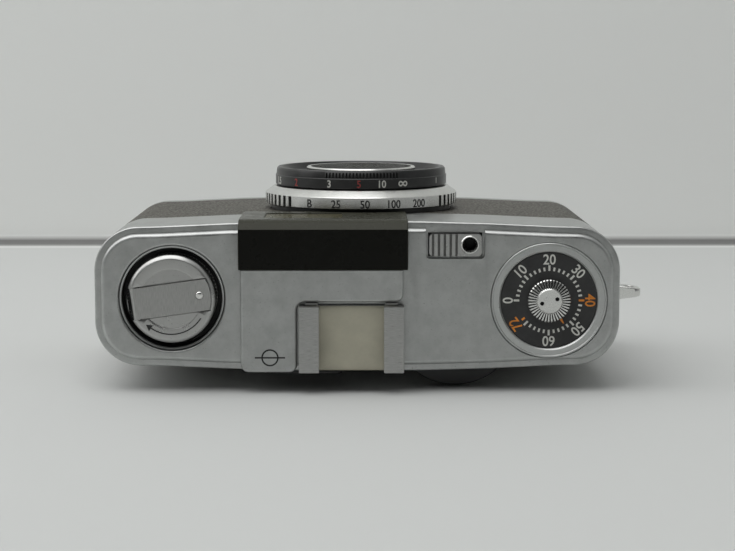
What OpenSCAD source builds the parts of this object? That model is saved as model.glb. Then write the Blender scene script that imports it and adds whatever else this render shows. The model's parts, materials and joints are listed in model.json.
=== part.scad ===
// Half frame camera for 35 mm film, built from separate sub-parts.
// Millimetres. +Z up, lens towards -Y, the user's left hand at +X.
// Origin: mouth of the tripod socket, on the base plane under the lens axis.

/* [Body] */
// Overall width of the body without the strap lug
body_w = 108; // [106:0.5:112]
// Depth of the body at the lens axis, without lens and thumb wheel
body_d = 31.3; // [31:0.1:33]
// Height of the flat top plates above the base
body_h = 66.5; // [66:0.5:68]
// Sideways distance from the lens axis to the middle of the body
axis_shift = 0.8; // [0.5:0.1:1.2]
// Radius of the four upright corners
corner_r = 9; // [8:0.25:10]
// How far the front falls away at the body's ends
front_bow = 2; // [1.5:0.25:2.25]
// How far the back falls away at the body's ends
back_bow = 2; // [1.5:0.25:2.25]
// Height of the joint between the top cover and the body
cover_z = 46; // [45.5:0.1:46.5]
// Height of the metal pan at the foot of the back shell
pan_h = 4; // [3:0.5:5]
// Thickness of the leatherette skin
leather_t = 0.6; // [0.4:0.1:0.8]

/* [Top] */
// Width of the step along the front and back of the top plate
ledge_w = 1.4; // [1:0.1:1.8]
// Height of the raised top plate above that step
panel_h = 1.4; // [1:0.1:1.8]
// Height of the finder cover above the top plate
finder_rise = 1.5; // [1:0.1:2]
// Width of an accessory foot that the shoe takes
foot_w = 18.7; // [18.6:0.05:18.8]
// Gap between the lips of the shoe
lip_gap = 13.1; // [12.6:0.1:13.4]
// Travel of the shutter release
release_travel = 2.5; // [2:0.1:2.6]

/* [Lens] */
// Height of the lens axis above the base
lens_z = 29; // [28.5:0.1:29.5]
// Radius of the shutter speed ring
speed_r = 21.3; // [21:0.1:21.5]
// Radius of the focusing ring
focus_r = 19; // [18.8:0.1:19.2]
// Radius of the aperture ring around the front lens
aperture_r = 12.1; // [12.05:0.05:12.15]
// How far the lens stands out from the body
lens_out = 9; // [8.8:0.1:9.5]

/* [Film transport] */
// Radius of the thumb wheel at the back
wheel_r = 13.5; // [13:0.1:13.6]
// How far the thumb wheel stands out from the back
wheel_out = 3.75; // [3:0.05:4]
// Radius of the film sprocket, eight teeth of 4.75 mm
sprocket_r = 6.05; // [6:0.01:6.1]
// Radius of the rewind knob
knob_r = 9.1; // [8.8:0.1:9.2]
// Angle of the rewind crank when it is folded down
crank_turn = 7.9; // [0:0.1:15]

/* [Hidden] */
$fn = 64;

half_w = body_w / 2;
half_d = body_d / 2;
ledge_z = body_h - panel_h;
finder_z = body_h + finder_rise;
far = 80;
gap = 0.1;
run = 0.07;

shell_t = 0.75;
cover_t = 1;
roof_z = body_h - 2.4;
split_y = 2;
casting_in = leather_t + shell_t + 0.25;
inner_in = casting_in + 1.2;
gate_x0 = -11.4;
gate_x1 = 25.3;
floor_z = 4.4;
casting_y1 = 9;
floor_t = 1.2;
chamber_top = 52.5;
casting_top = 54;
gate_y = 11;

supply_x = 38.85;
supply_y = 0.2;
takeup_x = -38.5;
takeup_y = 0.7;

gear_m = 0.8;
drive_teeth = 15;
idler_teeth = 11;
spool_teeth = 12;
wheel_y = half_d + wheel_out - wheel_r;
axis_span = gear_m * (drive_teeth + 2 * idler_teeth + spool_teeth) / 2;
wheel_x = takeup_x + sqrt(pow(axis_span, 2) - pow(wheel_y - takeup_y, 2));
train_angle = atan2(takeup_y - wheel_y, takeup_x - wheel_x);
idler_span = gear_m * (drive_teeth + idler_teeth) / 2;
idler_x = wheel_x + idler_span * cos(train_angle);
idler_y = wheel_y + idler_span * sin(train_angle);
gear_z = 54.6;
gear_t = 1.5;
wheel_z = 56.5;
wheel_t = 3.8;
counter_wheel_z = 61;
counter_teeth = 80;

finder_x0 = -8.6;
finder_x1 = 24.7;
bezel_x0 = -9.5;
bezel_x1 = 25.1;
bezel_y = -5.75;
finder_mid_x = 12;
finder_mid_z = 56.8;

shoe_x = 2;
shoe_wall = 1.4;
shoe_w = foot_w + 2 * shoe_wall;
shoe_y0 = 1.5;
shoe_y1 = 15.2;
shoe_plate_z = body_h + 0.05;
shoe_slot_z = shoe_plate_z + 0.4;
shoe_lip_z = shoe_slot_z + 2;
shoe_top_z = shoe_lip_z + 1.05;

button_x0 = -24.6;
button_x1 = -13.9;
button_y0 = -13;
button_y1 = -8.5;
button_z = body_h + 0.4;
button_foot_z = ledge_z - release_travel - 0.6;
cable_x = -22.2;
cable_y = -10.8;
rod_x = -18;
rod_y = -11.2;
rod_r = 1.2;
guide_top_z = 56;

knob_z = body_h + 1.5;
knob_foot_z = 62.3;
crank_pin_z = body_h + 0.8;
crank_pin_at = -7.3;
crank_w = 6.4;

mount_t = 1.1;
barrel_r = 15.5;
housing_r = 16.5;
blade_pivot = 10.6;
blade_t = 0.2;
key_x = supply_x;
lug_z = 57;
socket_x = 19;
socket_z = 10;

// How far a face has fallen away at a distance x from the middle
function fall(x, depth) = depth * pow(x / half_w, 2);

// Plan outline of the body, drawn inset by a wall thickness
function outline(inset) =
    let (
        cx = half_w - corner_r,
        back = half_d - corner_r - fall(cx, back_bow),
        front = half_d - corner_r - fall(cx, front_bow),
        r = corner_r - inset,
        n = 8
    )
    concat(
        [for (a = [0 : 10 : 90]) [cx + r * cos(a), back + r * sin(a)]],
        [for (k = [1 : n - 1]) let (x = cx - 2 * cx * k / n) [x, half_d - inset - fall(x, back_bow)]],
        [for (a = [90 : 10 : 180]) [-cx + r * cos(a), back + r * sin(a)]],
        [for (a = [180 : 10 : 270]) [-cx + r * cos(a), -front + r * sin(a)]],
        [for (k = [1 : n - 1]) let (x = -cx + 2 * cx * k / n) [x, inset - half_d + fall(x, front_bow)]],
        [for (a = [270 : 10 : 360]) [cx + r * cos(a), -front + r * sin(a)]]
    );

// A slab of the body's plan, from z0 to z1, kept between y0 and y1 and x0 and x1
module slab(inset, z0, z1, y0 = -far, y1 = far, x0 = -far, x1 = far) {
    translate([0, 0, z0]) linear_extrude(z1 - z0) intersection() {
        translate([axis_shift, 0]) polygon(outline(inset));
        translate([x0, y0]) square([x1 - x0, y1 - y0]);
    }
}

// A box given by its two corners
module box(a, b) {
    translate(a) cube(b - a);
}

// An upright cylinder between two heights
module post(x, y, r, z0, z1) {
    translate([x, y, z0]) cylinder(r = r, h = z1 - z0);
}

// An upright ring between two heights
module ring(x, y, r_out, r_in, z0, z1) {
    difference() {
        post(x, y, r_out, z0, z1);
        post(x, y, r_in, z0 - 1, z1 + 1);
    }
}

// Places a child on the lens axis, t in front of the body, its +Z forward
module on_lens(t = 0) {
    translate([0, -half_d - t, lens_z]) rotate([90, 0, 0]) children();
}

// A round part on the lens axis between two distances in front of the body
module lens_disc(r, t0, t1) {
    on_lens(t0) cylinder(r = r, h = t1 - t0);
}

// Flat outline of a small gear, one tooth at the angle phase
module gear_outline(teeth, m, phase) {
    pitch = 360 / teeth;
    r_tip = m * teeth / 2 + 0.6 * m;
    r_root = m * teeth / 2 - 0.9 * m;
    polygon([for (k = [0 : teeth - 1]) each [
        for (p = [[-0.25, r_root], [-0.09, r_tip], [0.09, r_tip], [0.25, r_root]])
        let (a = phase + (k + p[0]) * pitch) [p[1] * cos(a), p[1] * sin(a)]
    ]]);
}

module gear(x, y, teeth, phase, z, t, bore) {
    translate([x, y, z]) linear_extrude(t) difference() {
        gear_outline(teeth, gear_m, phase);
        circle(r = bore);
    }
}

// ---- Body and covers ----

// Front casting: the wall behind the leatherette with its two curved ends,
// and a shelf for the release guide
module main_casting() {
    color("dimgray") difference() {
        union() {
            difference() {
                union() {
                    slab(leather_t + 0.02, pan_h + 0.2, cover_z, y1 = split_y - gap);
                    slab(casting_in, floor_t + 0.2, casting_top, y1 = casting_y1);
                }
                slab(inner_in, 0, far);
                box([gate_x0, -far, cover_z], [gate_x1 + 0.1, far, far]);
            }
            box([rod_x - 3.4, -13.2, cover_z - 2], [rod_x + 3.4, rod_y + 3.2, cover_z]);
        }
        lens_disc(barrel_r + 0.05, -9.4, 1);
        at_socket(-6) cylinder(r = 2.6, h = 10);
        box([rod_x - 3.4, -far, cover_z], [rod_x + 3.4, rod_y, far]);
    }
}

// Floor of the film chambers, with the bore for the rewind button
module floor_plate() {
    color("dimgray") difference() {
        slab(inner_in + 0.02, floor_t + 0.2, floor_z, y1 = casting_y1);
        post(0, 0, 6.52, 0, 6);
        post(wheel_x, wheel_y, 1.6 + run, 0, 6);
        post(wheel_x, wheel_y, 2.6, 0, 3.1);
        post(key_x, 0, 9.4, 0, 3.2);
    }
}

// Decks over the two film chambers, with the bearings of the film transport
module deck_plate() {
    color("dimgray") difference() {
        slab(inner_in + 0.02, chamber_top, casting_top, y1 = casting_y1);
        box([gate_x0, -far, 0], [gate_x1 + 0.1, far, far]);
        post(supply_x, supply_y, 2 + run, 0, 60);
        post(takeup_x, takeup_y, 2 + run, 0, 60);
        post(wheel_x, wheel_y, 1.5 + run, 4, 60);
        post(idler_x, idler_y, 1.02, 50, 60);
        post(rod_x, rod_y, 2.95, cover_z, 60);
    }
}

// Film gate with the light tunnel behind the lens, and the supply side wall
module film_gate() {
    color("dimgray") {
        difference() {
            union() {
                box([gate_x0, casting_y1 + 0.1, floor_z + 0.1], [gate_x1, gate_y, cover_z]);
                box([-10.7, -6.2, lens_z - 14.2], [10.7, casting_y1 + 0.2, lens_z + 14.2]);
            }
            box([-9.5, -8, lens_z - 13], [9.5, 8.5, lens_z + 13]);
            box([-8.5, 8, lens_z - 12], [8.5, 20, lens_z + 12]);
        }
        box([gate_x1 - 1, -12.3, floor_z + 0.1], [gate_x1, casting_y1, cover_z]);
    }
}

// Pressed metal top cover with its raised plate and openings
module top_cover() {
    color("silver") difference() {
        union() {
            slab(0, cover_z, ledge_z);
            slab(ledge_w, ledge_z - 1, body_h);
        }
        slab(cover_t, cover_z - 1, roof_z);
        box([bezel_x0 - 0.05, -30, cover_z + 1.15], [bezel_x1 + 0.05, bezel_y + 0.05, 80]);
        post(supply_x, supply_y, 10.82, 50, 80);
        post(takeup_x, takeup_y, 11.92, ledge_z - 0.1, 80);
        post(takeup_x, takeup_y, 1.6 + run, 60, 80);
        box([button_x0 - 0.6, -far, ledge_z], [button_x1 + 0.8, button_y1 + 0.6, far]);
        box([button_x0 - 0.2, button_y0 - 0.2, 60], [button_x1 + 0.2, button_y1 + 0.2, 80]);
        box([wheel_x - 10.8, 10, wheel_z - 0.4], [wheel_x + 10.8, 30, wheel_z + wheel_t + 0.4]);
        box([finder_mid_x - 7.05, 10, finder_mid_z - 5.05], [finder_mid_x + 7.05, 30, finder_mid_z + 5.05]);
        lens_disc(20.4, -3, 5);
        shoe_holes(0.92);
        side_screws(1.5, 0);
        side_bore(2.05);
    }
}

module shoe_holes(r) {
    for (dx = [-6, 6], y = [4.5, 12]) post(shoe_x + dx, y, r, 63, 80);
}

// Raised cover over the viewfinder, cut away around the shoe
module finder_cover() {
    color("silver") difference() {
        union() {
            box([finder_x0, bezel_y + 0.1, body_h + 0.02], [finder_x1, half_d - 0.25, finder_z]);
            box([finder_x0, half_d - ledge_w + 0.3, ledge_z + 0.02], [finder_x1, half_d - 0.25, finder_z]);
        }
        box([finder_x0 - 1, 0.85, ledge_z - 1], [shoe_x + shoe_w / 2 + 0.4, 30, 80]);
    }
}

// Smoked plastic front of the viewfinder, wrapped over onto the top
module finder_bezel() {
    y0 = -half_d - 0.3;
    z0 = cover_z + 1.2;
    color([0.2, 0.2, 0.16]) difference() {
        bezel_bar(bezel_x0, bezel_x1, [
            [y0, z0], [bezel_y, z0], [bezel_y, finder_z], [y0 + 1.9, finder_z], [y0, body_h - 1.2]
        ]);
        bezel_bar(bezel_x0 + 1.2, bezel_x1 - 1.2, [
            [y0 + 1.4, z0 - 1], [1, z0 - 1], [1, finder_z - 1.4], [y0 + 2.6, finder_z - 1.4],
            [y0 + 1.4, body_h - 1.9]
        ]);
        box([finder_mid_x - 8.05, -30, finder_mid_z - 5.55], [finder_mid_x + 8.05, -12, finder_mid_z + 5.55]);
        lens_disc(20.4, -3, 5);
    }
}

// A bar along X with a side profile given as y, z points
module bezel_bar(x0, x1, profile) {
    translate([x0, 0, 0]) rotate([90, 0, 90]) linear_extrude(x1 - x0) polygon(profile);
}

// Front lens of the viewfinder, hollow on its inner face
module finder_window() {
    color([0.6, 0.7, 0.7, 0.4]) difference() {
        box([finder_mid_x - 8, -half_d - 0.1, finder_mid_z - 5.5],
            [finder_mid_x + 8, -half_d + 2, finder_mid_z + 5.5]);
        translate([finder_mid_x, -half_d + 14.2, finder_mid_z]) sphere(r = 13);
    }
}

module finder_tube() {
    color("black") difference() {
        box([finder_mid_x - 8.5, -half_d + 2.1, finder_mid_z - 6], [finder_mid_x + 8.5, 13.3, finder_mid_z + 6]);
        box([finder_mid_x - 7.5, -2, finder_mid_z - 5], [finder_mid_x + 7.5, 30, finder_mid_z + 5]);
        box([finder_mid_x - 7.5, -30, finder_mid_z - 5], [finder_mid_x + 7.5, -2.4, finder_mid_z + 5]);
        box([finder_mid_x - 3, -3, finder_mid_z - 4], [finder_mid_x + 3, 0, finder_mid_z + 4]);
    }
}

module eyepiece_frame() {
    color("black") difference() {
        union() {
            box([finder_mid_x - 7, 13.4, finder_mid_z - 5], [finder_mid_x + 7, half_d, finder_mid_z + 5]);
            box([finder_mid_x - 8, half_d + 0.02, finder_mid_z - 6], [finder_mid_x + 8, half_d + 0.9, finder_mid_z + 6]);
            box([finder_mid_x - 7, half_d - 0.1, finder_mid_z - 5], [finder_mid_x + 7, half_d + 0.5, finder_mid_z + 5]);
        }
        translate([finder_mid_x, 30, finder_mid_z]) rotate([90, 0, 0]) cylinder(r = 4, h = 40);
        translate([finder_mid_x, 30, finder_mid_z]) rotate([90, 0, 0]) cylinder(r = 4.5, h = 15.2);
    }
}

module eyepiece_lens() {
    color([0.6, 0.7, 0.7, 0.4]) intersection() {
        translate([finder_mid_x, half_d + 0.7, finder_mid_z]) rotate([90, 0, 0]) cylinder(r = 3.95, h = 1.9);
        translate([finder_mid_x, half_d + 0.6 - 20, finder_mid_z]) sphere(r = 20, $fn = 256);
    }
}

// Accessory shoe: a bent plate with two lips and two stop tabs
module accessory_shoe() {
    x0 = shoe_x - shoe_w / 2;
    x1 = shoe_x + shoe_w / 2;
    color("silver") difference() {
        box([x0, shoe_y0, shoe_plate_z], [x1, shoe_y1, shoe_top_z]);
        box([x0 + shoe_wall, -30, shoe_plate_z + 0.25], [x1 - shoe_wall, 30, shoe_lip_z]);
        box([shoe_x - lip_gap / 2, -30, shoe_lip_z - 1], [shoe_x + lip_gap / 2, 30, 80]);
        shoe_holes(0.92);
    }
    color("silver") for (s = [-1, 1])
        box([shoe_x + s * 8.2 - 1.3, 0.95, shoe_plate_z], [shoe_x + s * 8.2 + 1.3, shoe_y0 + 0.05, shoe_plate_z + 1.4]);
}

module shoe_floor() {
    color("tan") box([shoe_x - foot_w / 2 + 0.1, shoe_y0 + 0.2, shoe_plate_z + 0.26],
        [shoe_x + foot_w / 2 - 0.1, shoe_y1 - 0.1, shoe_slot_z]);
}

// ---- Counter and rewind housings ----

module counter_dial() {
    color("black") ring(takeup_x, takeup_y, 9.95, 1.6 + run, ledge_z - 0.08, body_h - 0.15);
}

module counter_bezel() {
    color("silver") ring(takeup_x, takeup_y, 11.9, 10, ledge_z - 0.08, body_h + 0.12);
}

module rewind_cup() {
    color("silver") difference() {
        post(supply_x, supply_y, 10.8, 61, body_h + 0.15);
        post(supply_x, supply_y, knob_r + 1.1, 62, 80);
        post(supply_x, supply_y, 2 + run, 50, 80);
        translate([supply_x, supply_y, body_h - 0.45]) cylinder(r1 = knob_r + 1, r2 = knob_r + 1.5, h = 0.8);
    }
}

// ---- Skins ----

module front_skin(x0, x1) {
    color([0.2, 0.2, 0.19]) difference() {
        slab(0, pan_h + 0.1, cover_z - 0.1, y1 = split_y - gap, x0 = x0, x1 = x1);
        slab(leather_t, 0, 80);
        lens_disc(20.1, -8, 8);
        at_socket(-6) cylinder(r = 2.65, h = 10);
    }
}

module leather_left() {
    front_skin(0.05, far);
}

module leather_right() {
    front_skin(-far, -0.05);
}

// ---- Lens and shutter ----

module lens_mount() {
    color("black") difference() {
        lens_disc(20, -leather_t, mount_t);
        lens_disc(barrel_r + 0.05, -3, 5);
    }
}

// Shutter housing with its blade chamber and pivots
module shutter_housing() {
    color("dimgray") difference() {
        union() {
            lens_disc(barrel_r, -9.2, mount_t + 0.1);
            lens_disc(housing_r, mount_t + 0.02, 4.9);
        }
        lens_disc(4.5, -10, 10);
        lens_disc(6.5, -10, -6.4);
        lens_disc(8.1, 2, 10);
        difference() {
            lens_disc(13.4, -3.4, -0.6);
            for (a = [0, 180]) on_lens(-1.9) rotate(a) translate([0, blade_pivot, 0]) cylinder(r = 0.5, h = 2);
            for (a = [90, 270]) on_lens(-4) rotate(a) translate([0, blade_pivot, 0]) cylinder(r = 0.5, h = 1.9);
        }
    }
}

module rear_element() {
    color([0.6, 0.7, 0.7, 0.4]) intersection() {
        lens_disc(6.45, -9.1, -6.5);
        translate([0, -half_d + 9 - 15, lens_z]) sphere(r = 15, $fn = 256);
    }
}

// One thin blade: a half disc on an arm, turned about its pivot by open
module blade(t, turn, open, notch) {
    color([0.15, 0.15, 0.16]) on_lens(t) rotate(turn) translate([0, blade_pivot, 0]) rotate(open)
        translate([0, -blade_pivot, 0]) linear_extrude(blade_t) difference() {
            union() {
                intersection() {
                    circle(r = 5.3);
                    translate([-0.4, -6]) square([8, 12]);
                }
                polygon([[-0.4, 4], [3.6, 3.6], [1.2, blade_pivot + 0.6], [-1, blade_pivot + 0.6]]);
            }
            translate([0, blade_pivot]) circle(r = 0.57);
            if (notch > 0) polygon([[-1, -notch], [notch, 0], [-1, notch]]);
        }
}

module shutter_blade_a() {
    blade(-1.2, 0, 0, 0);
}

module shutter_blade_b() {
    blade(-1.8, 180, 0, 0);
}

module aperture_blade_a() {
    blade(-2.4, 90, 17, 2.2);
}

module aperture_blade_b() {
    blade(-3, 270, 17, 2.2);
}

// Shutter speed ring: a straight flank and a cone towards the focusing ring
module speed_ring() {
    color("silver") on_lens() rotate_extrude() polygon([
        [housing_r + 0.1, mount_t + 0.1], [speed_r - 0.3, mount_t + 0.1], [speed_r, mount_t + 0.4],
        [speed_r, 3.5], [focus_r + 0.3, 4.9], [housing_r + 0.1, 4.9]
    ]);
}

// Black focusing ring with a dished front
module focus_ring() {
    color("black") on_lens() rotate_extrude() polygon([
        [aperture_r + 0.1, 5.05], [focus_r, 5.05], [focus_r, lens_out - 1], [focus_r - 1, lens_out],
        [focus_r - 1.4, lens_out], [focus_r - 2.4, lens_out - 1.2], [aperture_r + 0.9, lens_out - 1.8],
        [aperture_r + 0.1, lens_out - 1.8]
    ]);
}

module aperture_ring() {
    color("silver") on_lens() rotate_extrude() polygon([
        [10.8, 5.05], [aperture_r, 5.05], [aperture_r, lens_out - 0.3], [aperture_r - 0.3, lens_out],
        [11.2, lens_out], [11.2, lens_out - 1.6], [10.8, lens_out - 1.6]
    ]);
}

// Front lens cell, which screws out to focus
module front_cell() {
    color("black") on_lens() rotate_extrude() polygon([
        [6.6, 2.4], [8, 2.4], [8, 5.2], [10.7, 5.2], [10.7, lens_out - 1.9], [10, lens_out - 1.75],
        [6.6, lens_out - 2.6]
    ]);
}

module front_element() {
    color([0.6, 0.7, 0.7, 0.4]) intersection() {
        lens_disc(6.55, 3.4, 6.4);
        translate([0, -half_d - 6.3 + 14, lens_z]) sphere(r = 14, $fn = 256);
    }
}

// Places a child at the flash socket, t in front of the body
module at_socket(t) {
    on_lens(t) translate([socket_x, socket_z - lens_z, 0]) children();
}

module flash_socket() {
    color("silver") at_socket(-3) difference() {
        cylinder(r = 2.55, h = 2.9);
        translate([0, 0, 0.6]) difference() {
            cylinder(r = 1.7, h = 5);
            cylinder(r = 0.5, h = 1.4);
        }
    }
}

// ---- Outside fittings ----

// Places a child on the user's right side of the body, its +Z outward
module on_side(x) {
    translate([axis_shift - half_w - x, 0, lug_z]) rotate([0, -90, 0]) children();
}

module side_bore(r) {
    on_side(-8) cylinder(r = r, h = 16);
}

module lug_washer() {
    color("silver") on_side(0.02) difference() {
        cylinder(r = 3.55, h = 0.6);
        translate([0, 0, -1]) cylinder(r = 2.05, h = 4);
    }
}

// Strap lug: a post through the cover and a tapered eye
module strap_lug() {
    color("silver") difference() {
        union() {
            on_side(-3) cylinder(r = 2, h = 3.62);
            on_side(0.62) rotate([0, 0, 90]) lug_eye();
        }
        translate([axis_shift - half_w - 2.9, 30, lug_z]) rotate([90, 0, 0]) cylinder(r = 1.2, h = 60);
    }
}

// The eye: 4 mm long, 2.9 mm thick at the root and 1.5 mm at the tip
module lug_eye() {
    intersection() {
        translate([0, 4, 0]) rotate([90, 0, 0]) linear_extrude(8)
            polygon([[-1.45, 0], [1.45, 0], [0.75, 4], [-0.75, 4]]);
        translate([-5, 0, 0]) rotate([90, 0, 90]) linear_extrude(10) union() {
            translate([0, 1.3]) circle(r = 2.7);
            translate([-2.7, 0]) square([5.4, 1.3]);
        }
    }
}

module tripod_socket() {
    color("silver") ring(0, 0, 6.5, 2.65, 0, 5.9);
}

module light_seal() {
    color("black") box([-18, 13.6, cover_z + 0.1], [18, 14.3, cover_z + 1.5]);
}

// Two countersunk screws that hold the top cover at its ends
module side_screws(r, slot) {
    for (s = [-1, 1]) translate([axis_shift + s * half_w, 0, cover_z + 3.6]) rotate([0, s * 90, 0]) difference() {
        translate([0, 0, -1.2]) cylinder(r = r, h = 1.3);
        if (slot > 0) translate([-2, -slot / 2, -0.2]) cube([4, slot, 1]);
    }
}

module cover_screws() {
    color("silver") intersection() {
        side_screws(1.45, 0.4);
        box([axis_shift - half_w - 0.05, -5, 40], [axis_shift + half_w + 0.05, 5, 60]);
    }
    color("silver") for (dx = [-6, 6], y = [4.5, 12]) post(shoe_x + dx, y, 0.9, 63.2, shoe_plate_z + 0.24);
}

// ---- Release ----

module release_guide() {
    color("dimgray") difference() {
        union() {
            post(rod_x, rod_y, 2.4, cover_z + 0.02, guide_top_z);
            post(rod_x, rod_y, 2.9, cover_z + 0.02, cover_z + 1);
        }
        post(rod_x, rod_y, rod_r + run, cover_z + 1.2, 80);
    }
}

// Release button with grip ribs and a socket for a cable release
module release_button() {
    color("silver") difference() {
        box([button_x0, button_y0, button_foot_z], [button_x1, button_y1, button_z]);
        post(cable_x, cable_y, 1.25, button_z - 4, button_z + 1);
        translate([cable_x, cable_y, button_z - 0.6]) cylinder(r1 = 1.25, r2 = 2, h = 0.7);
        for (k = [0 : 4]) box([-14.9 - 1.2 * k, button_y0 - 1, button_z - 0.3], [-14.5 - 1.2 * k, button_y1 + 1, button_z + 1]);
    }
}

module release_rod() {
    color("silver") post(rod_x, rod_y, rod_r, cover_z + 4, button_foot_z - 0.01);
}

module button_spring() {
    color("gray") ring(rod_x, rod_y, 2.1, 1.4, guide_top_z + 0.05, button_foot_z - 0.05);
}

// ---- Rewind ----

// Places a child on the rewind axis, with +X along the folded crank
module on_rewind() {
    translate([supply_x, supply_y, 0]) rotate(180 + crank_turn) children();
}

module rewind_knob() {
    color("silver") on_rewind() difference() {
        union() {
            post(0, 0, knob_r, knob_foot_z, knob_z - 0.6);
            translate([0, 0, knob_z - 0.6]) cylinder(r1 = knob_r, r2 = knob_r - 0.6, h = 0.6);
        }
        post(0, 0, 6.2, knob_z - 0.5, 80);
        box([-10, -crank_w / 2 - 0.3, knob_z - 0.9], [8.3, crank_w / 2 + 0.3, 80]);
        box([-10, -crank_w / 2 - 0.3, crank_pin_z - 1.5], [crank_pin_at + 1.5, crank_w / 2 + 0.3, 80]);
        translate([crank_pin_at, -4.2, crank_pin_z]) rotate([-90, 0, 0]) cylinder(r = 0.61, h = 8.4);
    }
}

module crank_pin() {
    color("silver") on_rewind() translate([crank_pin_at, -4.15, crank_pin_z]) rotate([-90, 0, 0])
        cylinder(r = 0.6, h = 8.3);
}

// Folding crank: a flat strap with a rolled end on the hinge pin
module rewind_crank() {
    color("silver") on_rewind() difference() {
        union() {
            translate([crank_pin_at, -crank_w / 2, crank_pin_z]) rotate([-90, 0, 0]) cylinder(r = 1.05, h = crank_w);
            intersection() {
                box([crank_pin_at, -crank_w / 2, knob_z - 0.6], [9, crank_w / 2, knob_z + 0.25]);
                post(0, 0, 8.2, 60, 80);
            }
        }
        translate([crank_pin_at, -5, crank_pin_z]) rotate([-90, 0, 0]) cylinder(r = 0.6 + run, h = 10);
        post(5.9, 0, 0.82, 60, 80);
    }
}

module crank_rivet() {
    color("silver") on_rewind() post(5.9, 0, 0.8, knob_z - 0.6, knob_z + 0.32);
}

// Rewind shaft with the fork that turns the film cassette
module rewind_shaft() {
    color("silver") union() {
        post(supply_x, supply_y, 2, 51, knob_foot_z - 0.01);
        translate([supply_x, supply_y, 48.6]) linear_extrude(3.4) square([5.6, 1.4], center = true);
    }
}

// ---- Film transport ----

module thumb_wheel() {
    color([0.12, 0.12, 0.12]) ring(wheel_x, wheel_y, wheel_r, 1.52, wheel_z, wheel_z + wheel_t);
}

module wheel_shaft() {
    color("silver") post(wheel_x, wheel_y, 1.5, 6.2, wheel_z + wheel_t + 0.6);
}

// Film sprocket: a drum with a rim of eight teeth at each end
module sprocket() {
    color("silver") difference() {
        union() {
            post(wheel_x, wheel_y, sprocket_r - 0.4, lens_z - 16, lens_z + 16);
            for (s = [-1, 1]) translate([wheel_x, wheel_y, lens_z + s * 14.2 - 1]) linear_extrude(2) union() {
                circle(r = sprocket_r);
                for (k = [0 : 7]) rotate(45 * k) polygon([
                    [sprocket_r - 0.5, -0.95], [sprocket_r + 0.8, -0.8], [sprocket_r + 1.3, -0.4],
                    [sprocket_r + 1.3, 0.4], [sprocket_r + 0.8, 0.8], [sprocket_r - 0.5, 0.95]
                ]);
            }
        }
        post(wheel_x, wheel_y, 1.52, 0, 60);
    }
}

module drive_gear() {
    color("goldenrod") gear(wheel_x, wheel_y, drive_teeth, train_angle, gear_z, gear_t, 1.52);
}

module idler_gear() {
    color("goldenrod") union() {
        gear(idler_x, idler_y, idler_teeth, train_angle + 180 + 180 / idler_teeth, gear_z, gear_t, 0.5);
        post(idler_x, idler_y, 0.95, 52.7, gear_z + gear_t);
    }
}

// Take-up spool with its slot and upper shaft
module takeup_spool() {
    color([0.15, 0.15, 0.15]) difference() {
        union() {
            post(takeup_x, takeup_y, 5.5, 6, 51.8);
            post(takeup_x, takeup_y, 9.5, 6, 7.5);
            post(takeup_x, takeup_y, 7.5, 50, 51.8);
            post(takeup_x, takeup_y, 2, 51, gear_z + gear_t + 0.3);
        }
        box([takeup_x - 0.6, takeup_y, 8.5], [takeup_x + 0.6, takeup_y + 10, 49]);
    }
}

// An odd idler shows the spool gear a tooth, so a gap is turned towards it
module spool_gear() {
    phase = train_angle + 180 + (idler_teeth % 2 == 1 ? 180 / spool_teeth : 0);
    color("goldenrod") gear(takeup_x, takeup_y, spool_teeth, phase, gear_z, gear_t, 2.02);
}

// ---- Counter ----

module counter_knob() {
    color("silver") difference() {
        union() {
            post(takeup_x, takeup_y, 4.45, body_h, body_h + 1.2);
            post(takeup_x, takeup_y, 2.5, body_h + 1, body_h + 1.45);
            post(takeup_x, takeup_y, 1.6, counter_wheel_z - 0.5, body_h + 0.5);
        }
        for (s = [-1, 1]) post(takeup_x + s * 1.5, takeup_y + s * 0.45, 0.35, body_h + 0.9, 80);
    }
}

// Small pointer beside the knurled disc, between frames 50 and 60
module counter_pointer() {
    color("orange") translate([takeup_x, takeup_y, body_h]) rotate(124) translate([4.47, 0, 0])
        linear_extrude(0.5) polygon([[0, -0.6], [1.1, 0], [0, 0.6]]);
}

module counter_wheel() {
    m = 2 * 8.8 / counter_teeth;
    color("goldenrod") translate([takeup_x, takeup_y, counter_wheel_z]) linear_extrude(1.2) difference() {
        gear_outline(counter_teeth, m, 0);
        circle(r = 1.62);
    }
}

// ---- Back ----

// Back and base in one shell, which slides off downwards
module back_shell() {
    color("silver") difference() {
        union() {
            slab(0, 0, pan_h);
            slab(leather_t + 0.02, pan_h - 1, cover_z - gap, y0 = split_y);
        }
        slab(leather_t + shell_t, floor_t, far);
        post(0, 0, 6.6, -1, 5);
        post(key_x, 0, 7.1, -1, 5);
        post(wheel_x, wheel_y, 2.6, -1, 5);
    }
}

module back_leather() {
    color([0.2, 0.2, 0.19]) difference() {
        slab(0, pan_h + 0.1, cover_z - gap, y0 = split_y + gap);
        slab(leather_t, 0, 80);
    }
}

// Pressure plate, and the two leaf springs behind it
module pressure_plate() {
    color("black") box([-11.5, gate_y + 0.3, lens_z - 15], [14, gate_y + 1.2, lens_z + 15]);
    color("gray") for (s = [-1, 1]) translate([0, 0, lens_z + s * 9 - 2]) linear_extrude(4)
        polygon([[-8, 14.12], [-6, 14.12], [0.5, 12.42], [1.5, 12.42], [8, 14.12], [10, 14.12], [10, 14],
            [8, 14], [1.5, 12.25], [0.5, 12.25], [-6, 14], [-8, 14]]);
}

// Round key in the base that locks the back
module lock_key() {
    color("silver") union() {
        post(key_x, 0, 7, 0.85, 1.1);
        box([key_x - 6.4, -1, 0.15], [key_x + 6.4, 1, 1]);
        post(key_x, 0, 2.5, 1, 2.4);
        box([key_x - 8.5, -2, 1.6], [key_x + 8.5, 2, 2.6]);
    }
}

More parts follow.
